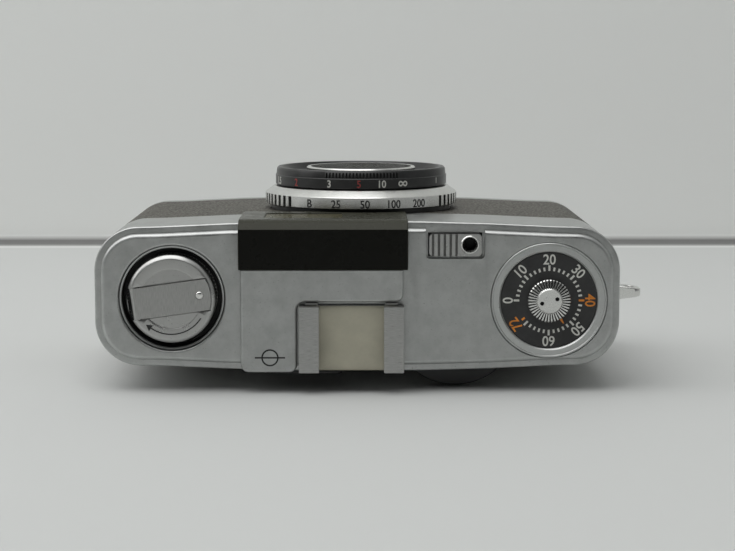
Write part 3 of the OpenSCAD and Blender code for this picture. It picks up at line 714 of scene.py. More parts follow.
class HALFFRAME_OT_cover(bpy.types.Operator):
    """Models the pressed top cover with its step, raised plate and openings"""

    bl_idname = "half_frame.cover"
    bl_label = "Top cover"

    def execute(self, context):
        body = context.scene.half_frame_body
        shell = body_plan("cover_shell", 0, JOINT_Z)
        open_edit(shell)
        bpy.ops.mesh.select_all(action="SELECT")
        raise_region(TOP_Z - body.panel_rise - JOINT_Z)
        bpy.ops.mesh.inset(thickness=body.ledge)
        raise_region(body.panel_rise)
        self.round_rim(body)
        close_edit()
        hollow = body_slab("hollow", body.sheet, JOINT_Z - MM, TOP_Z - body.panel_rise - body.sheet)
        cut(shell, hollow, *self.openings())
        cut(shell, self.dish("supply_dish", SUPPLY, 10.83, 0.55), self.dish("dial_dish", COUNTER, 11.95, 0.2))
        soften(shell, 0.12 * MM, 2, 50)
        hand_over(shell, "camera", ["top_cover"], FINISHES["satin_metal"])
        return {"FINISHED"}

    def round_rim(self, body):
        """Rounds the raised plate's rim and the edge of the step below it."""
        ledge_z = TOP_Z - body.panel_rise

        def level_edge(edge, height, flat):
            near = all(abs(v.co.z - height) < TINY for v in edge.verts)
            walls = [f for f in edge.link_faces if abs(f.normal.z) < 0.5]
            tops = [f for f in edge.link_faces if f.normal.z > 0.5]
            return near and len(walls) == 1 and len(tops) == flat

        pick("EDGE", lambda e: level_edge(e, TOP_Z, 1))
        bpy.ops.mesh.bevel(offset=body.rim, segments=4)

        def outer_edge(edge):
            far = all(self.plan_gap(v.co) < body.ledge / 2 for v in edge.verts)
            return far and level_edge(edge, ledge_z, 1)

        pick("EDGE", outer_edge)
        bpy.ops.mesh.bevel(offset=0.45 * MM, segments=3)

    def dish(self, name, spot, radius, width):
        """A cutter that rounds the upper edge of a round opening, as pressing leaves it."""
        top = TOP_Z / MM
        curve = []
        for step in range(6):
            angle = math.radians(18 * step)
            curve.append((radius + width * (1 - math.cos(angle)), top - width * (1 - math.sin(angle))))
        profile = [(radius - 1, top - width - 0.3), (radius - 0.02, top - width - 0.3)] + curve
        profile += [(radius + width, top + 1), (radius - 1, top + 1)]
        return place(turned(name, mm(*profile), 128, ring=True), (spot.x, spot.y, 0))

    def plan_gap(self, point):
        """A point's distance from the outline, near enough to tell the two edges apart."""
        body = bpy.context.scene.half_frame_body
        full_w = (HIGH.x - LOW.x) / 2
        x = abs(point.x - SHIFT)
        reach = min(x, full_w - body.corner)
        bow = body.back_bow if point.y > 0 else body.front_bow
        edge_y = BACK_Y - bow * (reach / full_w) ** 2
        if x <= full_w - body.corner:
            return edge_y - abs(point.y)
        over = Vector((x - full_w + body.corner, abs(point.y) - edge_y + body.corner))
        if over.y < 0:
            return full_w - x
        return body.corner - over.length

    def openings(self):
        body = bpy.context.scene.half_frame_body
        bezel_low, bezel_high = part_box("finder_bezel")
        button_low, button_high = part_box("release_button")
        eye_low, eye_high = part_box("eyepiece_frame")
        edge = 0.1 * MM
        bay = block(
            "bay", (bezel_low.x - edge, FRONT_Y - 5 * MM, JOINT_Z + 1.2 * MM),
            (bezel_high.x + edge, bezel_high.y + edge, TOP_Z + 9 * MM),
        )
        nook_low = (button_low.x - 0.7 * MM, FRONT_Y + body.ledge - 0.1 * MM, TOP_Z - body.panel_rise)
        nook = block("nook", nook_low, (button_high.x + 0.7 * MM, button_high.y + 0.6 * MM, TOP_Z + MM))
        open_edit(nook)
        pick("EDGE", lambda e: edge_along(e, 2) and e.verts[0].co.y > button_low.y)
        bpy.ops.mesh.bevel(offset=0.9 * MM, segments=5)
        close_edit()
        well = block(
            "well", button_low - Vector((0.2, 0.2, 2)) * MM, button_high + Vector((0.2, 0.2, 3)) * MM
        )
        slot = block(
            "slot", (WHEEL.x - 10.8 * MM, BACK_Y - 5 * MM, WHEEL.z - 2.3 * MM),
            (WHEEL.x + 10.8 * MM, BACK_Y + 5 * MM, WHEEL.z + 2.3 * MM),
        )
        eye = block(
            "eye", (eye_low.x + 0.9 * MM, BACK_Y - 5 * MM, eye_low.z + 0.9 * MM),
            (eye_high.x - 0.9 * MM, BACK_Y + 5 * MM, eye_high.z - 0.9 * MM),
        )
        arch = on_lens(disc("arch", 20.4 * MM, -3 * MM, 5 * MM, sides=160))
        supply = upright_cut("supply", 10.83 * MM, SUPPLY)
        counter = upright_cut("counter", 11.95 * MM, COUNTER, TOP_Z - 0.7 * MM)
        stem = upright_cut("stem", 1.7 * MM, COUNTER)
        lug = place(
            disc("lug", 2.05 * MM, -4 * MM, 4 * MM, sides=48),
            (LOW.x, middle("lug_washer").y, middle("lug_washer").z), (0, math.radians(90), 0),
        )
        return [bay, nook, well, slot, eye, arch, supply, counter, stem, lug]


class HALFFRAME_OT_finder(bpy.types.Operator):
    """Models the raised finder cover and the smoked plastic front"""

    bl_idname = "half_frame.finder"
    bl_label = "Finder"

    def execute(self, context):
        self.make_cover()
        self.make_front()
        self.make_eyepiece()
        return {"FINISHED"}

    def make_cover(self):
        low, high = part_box("finder_cover")
        shoe_low, shoe_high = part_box("accessory_shoe")
        cover = block("finder_cover_shell", low, high)
        pocket = block(
            "pocket", (low.x - MM, shoe_low.y - 0.1 * MM, low.z - MM),
            (shoe_high.x + 0.4 * MM, high.y + 5 * MM, high.z + MM),
        )
        cut(cover, pocket)
        open_edit(cover)
        pick("EDGE", lambda e: edge_along(e, 2) and e.verts[0].co.y > low.y + MM)
        bpy.ops.mesh.bevel(offset=1.6 * MM, segments=6)
        pick("EDGE", lambda e: all(v.co.z > high.z - TINY for v in e.verts) and any(abs(f.normal.z) < 0.5 for f in e.link_faces)
             and not all(v.co.y < low.y + TINY for v in e.verts))
        bpy.ops.mesh.bevel(offset=0.55 * MM, segments=3)
        close_edit()
        hand_over(cover, "camera", ["finder_cover"], FINISHES["satin_metal"], 35)

    def make_front(self):
        """A hollow block with a sloping front edge, cut around the lens mount."""
        low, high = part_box("finder_bezel")
        front = block("finder_front", low, high)
        open_edit(front)
        pick("EDGE", lambda e: edge_along(e, 0) and all(
            v.co.y < low.y + TINY and v.co.z > high.z - TINY for v in e.verts))
        bpy.ops.mesh.bevel(offset=1.95 * MM, segments=1)
        pick("EDGE", lambda e: edge_along(e, 0) and all(
            v.co.y < low.y + TINY and v.co.z > low.z + MM for v in e.verts))
        bpy.ops.mesh.bevel(offset=1.3 * MM, segments=5)
        close_edit()
        hollow = block(
            "hollow", low + Vector((1.2, 1.6, -2)) * MM, high - Vector((1.2, -5, 1.5)) * MM
        )
        window_low, window_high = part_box("finder_window")
        window = block(
            "window", (window_low.x, low.y - MM, window_low.z), (window_high.x, 0, window_high.z)
        )
        arch = on_lens(disc("arch", 20.4 * MM, -3 * MM, 5 * MM, sides=160))
        cut(front, hollow, window, arch)
        soften(front, 0.25 * MM, 3, 30)
        hand_over(front, "camera", ["finder_bezel"], FINISHES["smoked_plastic"], 25)

    def make_eyepiece(self):
        low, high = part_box("eyepiece_frame")
        mid = (low + high) / 2
        eye = block("eyepiece_surround", (low.x, BACK_Y + 0.03 * MM, low.z), high)
        open_edit(eye)
        pick("EDGE", lambda e: edge_along(e, 1))
        bpy.ops.mesh.bevel(offset=1.5 * MM, segments=6)
        close_edit()
        neck = block("neck", low + Vector((1, 0, 1)) * MM, high - Vector((1, 0.5, 1)) * MM)
        apply_modifier(eye, "BOOLEAN", operation="UNION", solver="EXACT", object=neck)
        bpy.data.objects.remove(neck)
        cup = place(turned("cup", [
            (4 * MM, -5 * MM), (4 * MM, 3.9 * MM), (4.5 * MM, 3.9 * MM), (5 * MM, 5 * MM),
        ], 64), (mid.x, BACK_Y - 4 * MM, mid.z), (math.radians(-90), 0, 0))
        cut(eye, cup)
        soften(eye, 0.2 * MM, 2, 40)
        hand_over(eye, "camera", ["eyepiece_frame"], FINISHES["black_plastic"])


class HALFFRAME_OT_shoe(bpy.types.Operator):
    """Models the accessory shoe from bent sheet, and its cream floor"""

    bl_idname = "half_frame.shoe"
    bl_label = "Accessory shoe"

    def execute(self, context):
        low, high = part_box("accessory_shoe")
        wall = 1.05 * MM
        start_y = low.y + 0.55 * MM
        floor_z = low.z + 0.25 * MM
        shoe = add(
            bpy.ops.mesh.primitive_plane_add, "shoe_rails",
            size=1, location=((low.x + high.x) / 2, (start_y + high.y) / 2, low.z),
        )
        open_edit(shoe)
        bpy.ops.mesh.select_all(action="SELECT")
        bpy.ops.transform.resize(
            value=(high.x - low.x, high.y - start_y, 1),
            center_override=((low.x + high.x) / 2, (start_y + high.y) / 2, low.z),
        )
        for side in (-1, 1):
            x = high.x if side > 0 else low.x
            pick("EDGE", lambda e: edge_along(e, 1) and abs(e.verts[0].co.x - x) < TINY
                 and e.verts[0].co.z < low.z + TINY)
            bpy.ops.mesh.extrude_edges_move(TRANSFORM_OT_translate={"value": (0, 0, high.z - low.z)})
            bpy.ops.mesh.extrude_edges_move(TRANSFORM_OT_translate={"value": (-side * 4.15 * MM, 0, 0)})
        bpy.ops.mesh.select_all(action="SELECT")
        bpy.ops.mesh.normals_make_consistent(inside=False)
        close_edit()
        self.thicken(shoe, wall, high)
        tabs = [
            block("tab", (x - 1.3 * MM, low.y, low.z), (x + 1.3 * MM, start_y + 0.1 * MM, low.z + 1.4 * MM))
            for x in ((low.x + high.x) / 2 - 8.2 * MM, (low.x + high.x) / 2 + 8.2 * MM)
        ]
        join(shoe, *tabs)
        soften(shoe, 0.16 * MM, 2, 40)
        hand_over(shoe, "camera", ["accessory_shoe"], FINISHES["brushed_metal"])
        self.make_floor(floor_z)
        return {"FINISHED"}

    def thicken(self, shoe, wall, high):
        """Gives the bent sheet its thickness inwards."""
        apply_modifier(shoe, "SOLIDIFY", thickness=wall, offset=-1, use_even_offset=True)
        top = max(v.co.z for v in shoe.data.vertices)
        if top > high.z + TINY:
            raise RuntimeError("the shoe's sheet was thickened outwards")
        trim_low, trim_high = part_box("shoe_floor")
        trim = block(
            "trim", (trim_low.x - 0.08 * MM, trim_low.y - 3 * MM, trim_low.z - 0.01 * MM),
            (trim_high.x + 0.08 * MM, trim_high.y + 3 * MM, high.z - wall),
        )
        cut(shoe, trim)

    def make_floor(self, height):
        low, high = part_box("shoe_floor")
        plate = block("shoe_floor_plate", low, high)
        open_edit(plate)
        pick("FACE", lambda f: f.normal.z > 0.9)
        bpy.ops.mesh.subdivide(number_cuts=5)
        close_edit()
        soften(plate, 0.04 * MM, 1, 60)
        hand_over(plate, "camera", ["shoe_floor"], FINISHES["shoe_cream"])


# ---- Rings, dials and knobs ----


def sector(point):
    """The angle of a point about Z in degrees, 0 at +Y and growing towards -X."""
    return math.degrees(math.atan2(-point.x, point.y)) % 360


def radial(face):
    """True for a face that looks away from or towards the Z axis."""
    spot = face.calc_center_median()
    return abs(face.normal.z) < 0.3 and math.hypot(spot.x, spot.y) > TINY


def serrate(piece, sides, radius, depth, low, high, keep=lambda angle: True):
    """Presses every second side face between two heights inwards, as grooves."""
    step = 360 / sides

    def groove(face):
        spot = face.calc_center_median()
        outer = math.hypot(spot.x, spot.y) > radius - 0.15 * MM
        inside = low < spot.z < high
        return radial(face) and outer and inside and int(sector(spot) / step) % 2 and keep(sector(spot))

    open_edit(piece)
    pick("FACE", groove)
    bpy.ops.mesh.extrude_region_move()
    shrink = (radius - depth) / radius
    bpy.ops.transform.resize(value=(shrink, shrink, 1), center_override=(0, 0, 0))
    close_edit()


def mm(*points):
    """Turns (radius, height) points from millimetres to metres."""
    return [(radius * MM, height * MM) for radius, height in points]


def lettering(words, height, spot, turn, wrap=None):
    """Raised paint letters, centred at a spot, and wrapped onto a round piece when asked."""
    bpy.ops.object.select_all(action="DESELECT")
    bpy.ops.object.text_add()
    piece = bpy.context.object
    piece.data.body = words
    piece.data.align_x = "CENTER"
    piece.data.align_y = "CENTER"
    piece.data.resolution_u = 4
    piece.data.offset = 0.014
    bpy.ops.object.convert(target="MESH")
    piece = bpy.context.object
    piece.name = "letters_" + words
    tall = piece.dimensions.y
    low = min(v.co.y for v in piece.data.vertices)
    open_edit(piece)
    bpy.ops.mesh.select_all(action="SELECT")
    bpy.ops.mesh.remove_doubles(threshold=0.0001)
    bpy.ops.transform.translate(value=(0, -low - tall / 2, 0))
    grow = height / tall
    bpy.ops.transform.resize(value=(grow * 0.9, grow, grow), center_override=(0, 0, 0))
    close_edit()
    place(piece, spot, turn)
    if wrap:
        apply_modifier(
            piece, "SHRINKWRAP", target=wrap, wrap_method="NEAREST_SURFACEPOINT",
            wrap_mode="ABOVE_SURFACE", offset=0.02 * MM,
        )
    apply_modifier(piece, "SOLIDIFY", thickness=0.045 * MM, offset=0)
    return piece


def lens_letters(words, angle, radius, forward, height, wrap):
    """Letters around the lens, read from above, at an angle from the top towards -X."""
    turn = Matrix.Rotation(-angle, 3, "Y") @ Matrix.Rotation(math.pi, 3, "Z")
    spot = LENS + Matrix.Rotation(-angle, 3, "Y") @ Vector((0, -forward, radius))
    return lettering(words, height, spot, turn.to_euler(), wrap)


def hand_letters(name, letters, body, finish):
    """Joins letters of one colour into one piece that rides with a body."""
    piece = join(letters[0], *letters[1:])
    piece.name = name
    hand_over(piece, body, [], FINISHES[finish], 20)
    return piece


class HALFFRAME_OT_lens(bpy.types.Operator):
    """Models the rings around the lens with their grooves, teeth and numbers"""

    bl_idname = "half_frame.lens"
    bl_label = "Lens"

    def execute(self, context):
        lens = context.scene.half_frame_lens
        mount = on_lens(turned("mount_flange", mm(
            (15.6, 1.1), (15.6, -0.55), (19.95, -0.55), (19.95, 0.9), (19.75, 1.1),
        ), 128, ring=True))
        hand_over(mount, "camera", ["lens_mount"], FINISHES["black_enamel"])
        self.speed_ring(lens)
        self.focus_ring(lens)
        self.front_rings()
        return {"FINISHED"}

    def speed_ring(self, lens):
        """A chrome ring with coarse grooves, and a plain panel on top for the speeds."""
        count = lens.groove_count * 2
        ring = turned("speed_grip", mm(
            (16.65, 1.25), (20.3, 1.25), (20.3, 0.85), (20.9, 0.85), (21.28, 1.1), (21.28, 3.35),
            (20.95, 3.65), (20.1, 4.2), (19.4, 4.75), (19.2, 4.85), (16.65, 4.85),
        ), count, ring=True)
        serrate(
            ring, count, 21.28 * MM, 0.7 * MM, 1.2 * MM, 3.3 * MM,
            lambda angle: 51.5 < angle < 314.3,
        )
        on_lens(ring)
        hand_over(ring, "speed", ["speed_ring"], FINISHES["ring_metal"], 35)

        def groove_floor(face):
            spot = face.calc_center_median()
            away = math.hypot(spot.x - LENS.x, spot.z - LENS.z)
            return 20.4 * MM < away < 20.75 * MM and 1.3 * MM < LENS.y - spot.y < 3 * MM and abs(face.normal.y) < 0.3

        # Painted shade: the floors of the grooves are painted black.
        paint_faces(ring, "black_paint_and_shade", groove_floor)
        speeds = ["B", "25", "50", "100", "200"]
        letters = [
            lens_letters(
                words, (place_in - 2) * lens.speed_pitch + math.radians(2.2), 21.3 * MM, 2.05 * MM,
                lens.digit, ring,
            )
            for place_in, words in enumerate(speeds)
        ]
        hand_letters("speeds", letters, "speed", "black_paint_and_shade")

    def focus_ring(self, lens):
        """The black focusing ring with a fine toothed edge and its distances."""
        count = lens.tooth_count * 2
        ring = turned("focus_grip", mm(
            (12.25, 5.1), (18.8, 5.1), (19.0, 5.3), (19.0, 7.2), (18.85, 7.35), (18.7, 8.6),
            (18.4, 8.95), (17.6, 8.95), (16.6, 7.8), (13.0, 7.2), (12.25, 7.2),
        ), count, ring=True)
        serrate(
            ring, count, 18.8 * MM, 0.35 * MM, 7.4 * MM, 8.55 * MM,
            lambda angle: min(angle % 180, 180 - angle % 180) < 25,
        )
        on_lens(ring)
        hand_over(ring, "focus", ["focus_ring"], FINISHES["black_enamel"], 35)
        far_angle = math.radians(28.2)
        scale = math.radians(148)

        def at(distance):
            return far_angle - scale / distance

        def row(marks):
            return [
                lens_letters(
                    words, angle, 19.02 * MM, 6.2 * MM, lens.digit * (0.68 if words == "∞" else 0.92), ring
                )
                for words, angle in marks
            ]

        white = row([("∞", far_angle), ("10", at(10)), ("3", at(3)), ("1.5", at(1.5)), ("1", at(1))])
        red = row([("5", at(5)), ("2", at(2.0) - math.radians(1.8))])
        red.append(lens_letters("0.8", at(0.8), 19.02 * MM, 6.2 * MM, lens.digit, ring))
        stroke = lens_letters("I", math.radians(59.5), 19.02 * MM, 6.4 * MM, lens.digit * 0.7, ring)
        hand_letters("distances", white + [stroke], "focus", "white_paint")
        hand_letters("red_distances", red, "focus", "red_paint")

    def front_rings(self):
        aperture = turned("aperture_grip", mm(
            (10.85, 5.1), (12.1, 5.1), (12.1, 8.7), (11.85, 8.95), (11.2, 8.95), (11.2, 7.4), (10.85, 7.4),
        ), 144, ring=True)
        serrate(aperture, 144, 12.1 * MM, 0.22 * MM, 5.2 * MM, 8.7 * MM)
        on_lens(aperture)
        hand_over(aperture, "aperture", ["aperture_ring"], FINISHES["ring_metal"], 35)
        cell = on_lens(turned("front_barrel", mm(
            (6.62, 2.45), (7.95, 2.45), (7.95, 5.25), (10.65, 5.25), (10.65, 6.9), (10.45, 7.08),
            (9.9, 7.08), (9.6, 6.8), (7.4, 6.35), (7.1, 6.6), (6.8, 6.6), (6.62, 6.4),
        ), 128, ring=True))
        hand_over(cell, "front", ["front_cell"], FINISHES["black_enamel"])


def paint_faces(piece, finish, test):
    """Gives the faces that pass a test a second finish, used as painted shade in grooves, holes and hollows."""
    piece.data.materials.append(FINISHES[finish])
    open_edit(piece)
    pick("FACE", test)
    piece.active_material_index = len(piece.data.materials) - 1
    bpy.ops.object.material_slot_assign()
    close_edit()


def rib_top(face, centre):
    """True for the raised faces of the counter knob, which alternate around it."""
    return int(sector(face.calc_center_median() - centre) / 4.5) % 2


class HALFFRAME_OT_counter(bpy.types.Operator):
    """Models the frame counter: its ring, dial with numbers, ribbed knob and pointer"""

    bl_idname = "half_frame.counter"
    bl_label = "Frame counter"

    def execute(self, context):
        spot = Vector((COUNTER.x, COUNTER.y, 0))
        ring = place(turned("counter_ring", mm(
            (10.02, 65.05), (11.86, 65.05), (11.86, 66.6), (11.75, 66.74), (11.55, 66.74), (11.4, 66.56),
            (10.3, 66.56), (10.02, 66.3),
        ), 128, ring=True), spot)
        hand_over(ring, "camera", ["counter_bezel"], FINISHES["dial_metal"])
        dial = place(turned("counter_face", mm(
            (1.7, 65.05), (9.93, 65.05), (9.93, 66.2), (9.8, 66.32), (1.7, 66.32),
        ), 128, ring=True), spot)
        hand_over(dial, "camera", ["counter_dial"], FINISHES["dial_enamel"])
        self.print_dial(spot)
        self.make_knob(spot)
        return {"FINISHED"}

    def print_dial(self, spot):
        """Ticks at every second frame, long at the tens, with 40 and 72 in orange."""
        white = []
        orange = []
        top = 66.335 * MM
        for count in range(0, 73, 2):
            turn = math.radians(-4.5 * count)
            tall = 1.15 if count % 10 == 0 else 0.75
            wide = 0.42 if count % 10 == 0 else 0.4
            tick = block("tick", (6.1 * MM, -wide / 2 * MM, -0.02 * MM), ((6.1 + tall) * MM, wide / 2 * MM, 0.02 * MM))
            place(tick, spot + Vector((0, 0, top)), (0, 0, turn))
            (orange if count in (40, 72) else white).append(tick)
        for count in (0, 10, 20, 30, 40, 50, 60, 72):
            turn = math.radians(-4.5 * count)
            out = Vector((math.cos(turn), math.sin(turn), 0)) * 8.45 * MM
            digits = lettering(
                str(count), 2.15 * MM, spot + out + Vector((0, 0, top)), (0, 0, turn - math.pi / 2)
            )
            (orange if count in (40, 72) else white).append(digits)
        hand_letters("counter_numbers", white, "camera", "white_paint")
        hand_letters("counter_orange", orange, "camera", "orange_paint")

    def make_knob(self, spot):
        """A disc with ribs from its hub to its rim, and two holes for a key."""
        knob = turned("counter_grip", mm(
            (0.9, 66.45), (4.2, 66.45), (4.4, 66.6), (4.4, 67.1), (4.2, 67.32),
            (2.62, 67.5), (2.5, 67.6), (2.5, 67.8), (2.36, 67.92), (0.9, 67.92),
        ), 80)

        def rib(face):
            at = face.calc_center_median()
            out = math.hypot(at.x, at.y)
            return 2.7 * MM < out < 4.4 * MM and face.normal.z > 0.5 and int(sector(at) / 4.5) % 2

        open_edit(knob)
        pick("FACE", rib)
        raise_region(0.3 * MM)
        close_edit()
        serrate(knob, 80, 4.4 * MM, 0.2 * MM, 66.6 * MM, 67.1 * MM)
        holes = [
            disc("hole", 0.42 * MM, 67.2 * MM, 69 * MM, (side * 1.55 * MM, side * 0.45 * MM), 24)
            for side in (-1, 1)
        ]
        cut(knob, *holes)
        place(knob, spot)
        hand_over(knob, "counter", ["counter_knob"], FINISHES["ring_metal"], 30)
        centre = Vector((COUNTER.x, COUNTER.y, 0))
        # Painted shade: the floors between the ribs and the insides of the key holes are painted black.
        paint_faces(knob, "black_paint_and_shade", lambda f: f.normal.z > 0.5 and 2.7 * MM < math.hypot(
            f.calc_center_median().x - centre.x, f.calc_center_median().y - centre.y) < 4.3 * MM
            and not rib_top(f, centre))
        paint_faces(knob, "black_paint_and_shade", lambda f: 67.1 * MM < f.calc_center_median().z < 67.85 * MM and 0.95 * MM
                    < math.hypot(f.calc_center_median().x - centre.x, f.calc_center_median().y - centre.y)
                    < 2.1 * MM)
        low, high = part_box("counter_pointer")
        tip = block("pointer", (4.45 * MM, -0.3 * MM, 66.4 * MM), (5.6 * MM, 0.3 * MM, 66.9 * MM))
        open_edit(tip)
        pick("FACE", lambda f: f.normal.x > 0.9)
        bpy.ops.transform.resize(value=(1, 0.35, 0.6), center_override=(5.6 * MM, 0, 66.4 * MM))
        close_edit()
        aim = (low + high) / 2 - spot
        place(tip, spot, (0, 0, math.atan2(aim.y, aim.x)))
        hand_over(tip, "counter", ["counter_pointer"], FINISHES["orange_paint"])


class HALFFRAME_OT_rewind(bpy.types.Operator):
    """Models the rewind knob in its cup, and the crank folded into it"""

    bl_idname = "half_frame.rewind"
    bl_label = "Rewind crank"

    def execute(self, context):
        spot = Vector((SUPPLY.x, SUPPLY.y, 0))
        pin = middle("crank_pin") - spot
        turn = math.atan2(-pin.y, -pin.x)
        cup = place(turned("rewind_well", mm(
            (1.9, 61.0), (10.75, 61.0), (10.75, 65.8), (10.72, 65.86), (10.4, 65.8), (10.25, 65.6),
            (10.25, 61.8), (1.9, 61.8),
        ), 128, ring=True), spot)
        hand_over(cup, "camera", ["rewind_cup"], FINISHES["satin_metal"])
        # Painted shade: the inner wall and floor of the cup are painted black, for the dark gap around the knob.
        paint_faces(cup, "black_paint_and_shade", lambda f: f.calc_center_median().z < 65.65 * MM)
        self.make_knob(spot, turn)
        self.make_crank(spot, turn)
        return {"FINISHED"}

    def make_knob(self, spot, turn):
        knob = turned("rewind_grip", mm(
            (2, 62.4), (8.9, 62.4), (9.1, 62.6), (9.1, 67.1), (8.95, 67.4), (8.3, 67.95), (8.15, 67.98),
            (6.3, 67.98), (6.15, 67.9), (6.15, 67.5),
        ), 160)
        serrate(knob, 160, 9.1 * MM, 0.22 * MM, 62.7 * MM, 67 * MM)
        channel = block(
            "channel", (-9.6 * MM, -3.45 * MM, 67.12 * MM), (8.3 * MM, 3.45 * MM, 70 * MM)
        )
        nest = disc("nest", 8.45 * MM, 66 * MM, 72 * MM, sides=128)
        apply_modifier(channel, "BOOLEAN", operation="INTERSECT", solver="EXACT", object=nest)
        bpy.data.objects.remove(nest)
        pit = block("pit", (-8.85 * MM, -3.3 * MM, 66.1 * MM), (-6.1 * MM, 3.3 * MM, 70 * MM))
        cut(knob, channel, pit)
        soften(knob, 0.08 * MM, 2, 45)
        place(knob, spot, (0, 0, turn))
        hand_over(knob, "rewind", ["rewind_knob"], FINISHES["knob_metal"], 30)
        back_turn = Matrix.Rotation(-turn, 3, "Z")

        def in_pit(face):
            local = back_turn @ (face.calc_center_median() - spot)
            return 65.9 * MM < local.z < 67.1 * MM and -8.9 * MM < local.x < -6 * MM and abs(local.y) < 3.4 * MM

        # Painted shade: the faces of the pit are painted black.
        paint_faces(knob, "black_paint_and_shade", in_pit)
        shadow = self.arrow(67.9, 68.0)
        place(shadow, spot, (0, 0, turn))
        hand_over(shadow, "rewind", [], FINISHES["black_paint_and_shade"])

    def arrow(self, low=67.9, high=69.0):
        """An arc with a head that shows which way to turn, on the side away from the strap."""
        arc = turned("arrow", mm((7.1, low), (7.36, low), (7.36, high), (7.1, high)), 160, ring=True)
        side = block("trim", (-9 * MM, -4.7 * MM, 60 * MM), (9 * MM, 9 * MM, 75 * MM))
        end = block("trim", (-9 * MM, -9 * MM, 60 * MM), (-5.0 * MM, 9 * MM, 75 * MM))
        cut(arc, side, end)
        head = add(
            bpy.ops.mesh.primitive_cylinder_add, "head", vertices=3, radius=0.85 * MM,
            depth=(high - low) * MM, location=(-5.2 * MM, -5.05 * MM, (high + low) / 2 * MM),
            rotation=(0, 0, math.radians(46)),
        )
        apply_modifier(arc, "BOOLEAN", operation="UNION", solver="EXACT", object=head)
        bpy.data.objects.remove(head)
        return arc

    def make_crank(self, spot, turn):
        """A flat strap whose hinged end is rolled around its pin."""
        strap = block("crank_strap", (-7.4 * MM, -3.2 * MM, 67.42 * MM), (9 * MM, 3.2 * MM, 68.22 * MM))
        round_end = disc("round_end", 8.2 * MM, 60 * MM, 75 * MM, sides=128)
        apply_modifier(strap, "BOOLEAN", operation="INTERSECT", solver="EXACT", object=round_end)
        bpy.data.objects.remove(round_end)
        roll = place(
            disc("roll", 0.88 * MM, -3.2 * MM, 3.2 * MM, sides=40), (-7.3 * MM, 0, 67.3 * MM),
            (math.radians(90), 0, 0),
        )
        apply_modifier(strap, "BOOLEAN", operation="UNION", solver="EXACT", object=roll)
        bpy.data.objects.remove(roll)
        bore = place(
            disc("bore", 0.63 * MM, -5 * MM, 5 * MM, sides=32), (-7.3 * MM, 0, 67.3 * MM),
            (math.radians(90), 0, 0),
        )
        rivet_hole = disc("rivet_hole", 0.86 * MM, 67.9 * MM, 69 * MM, (5.9 * MM, 0), 32)
        cut(strap, bore, rivet_hole)
        soften(strap, 0.12 * MM, 2, 45)
        place(strap, spot, (0, 0, turn))
        hand_over(strap, "crank", ["rewind_crank"], FINISHES["crank_metal"], 30)
        rivet = place(turned("rivet", mm(
            (0.3, 67.45), (0.8, 67.45), (0.8, 68.15), (0.62, 68.3), (0.3, 68.34),
        ), 32), (0, 0, 0))
        place(rivet, (5.9 * MM, 0, 0))
        place(rivet, spot, (0, 0, turn))
        hand_over(rivet, "crank", ["crank_rivet"], FINISHES["bright_metal"], 30)


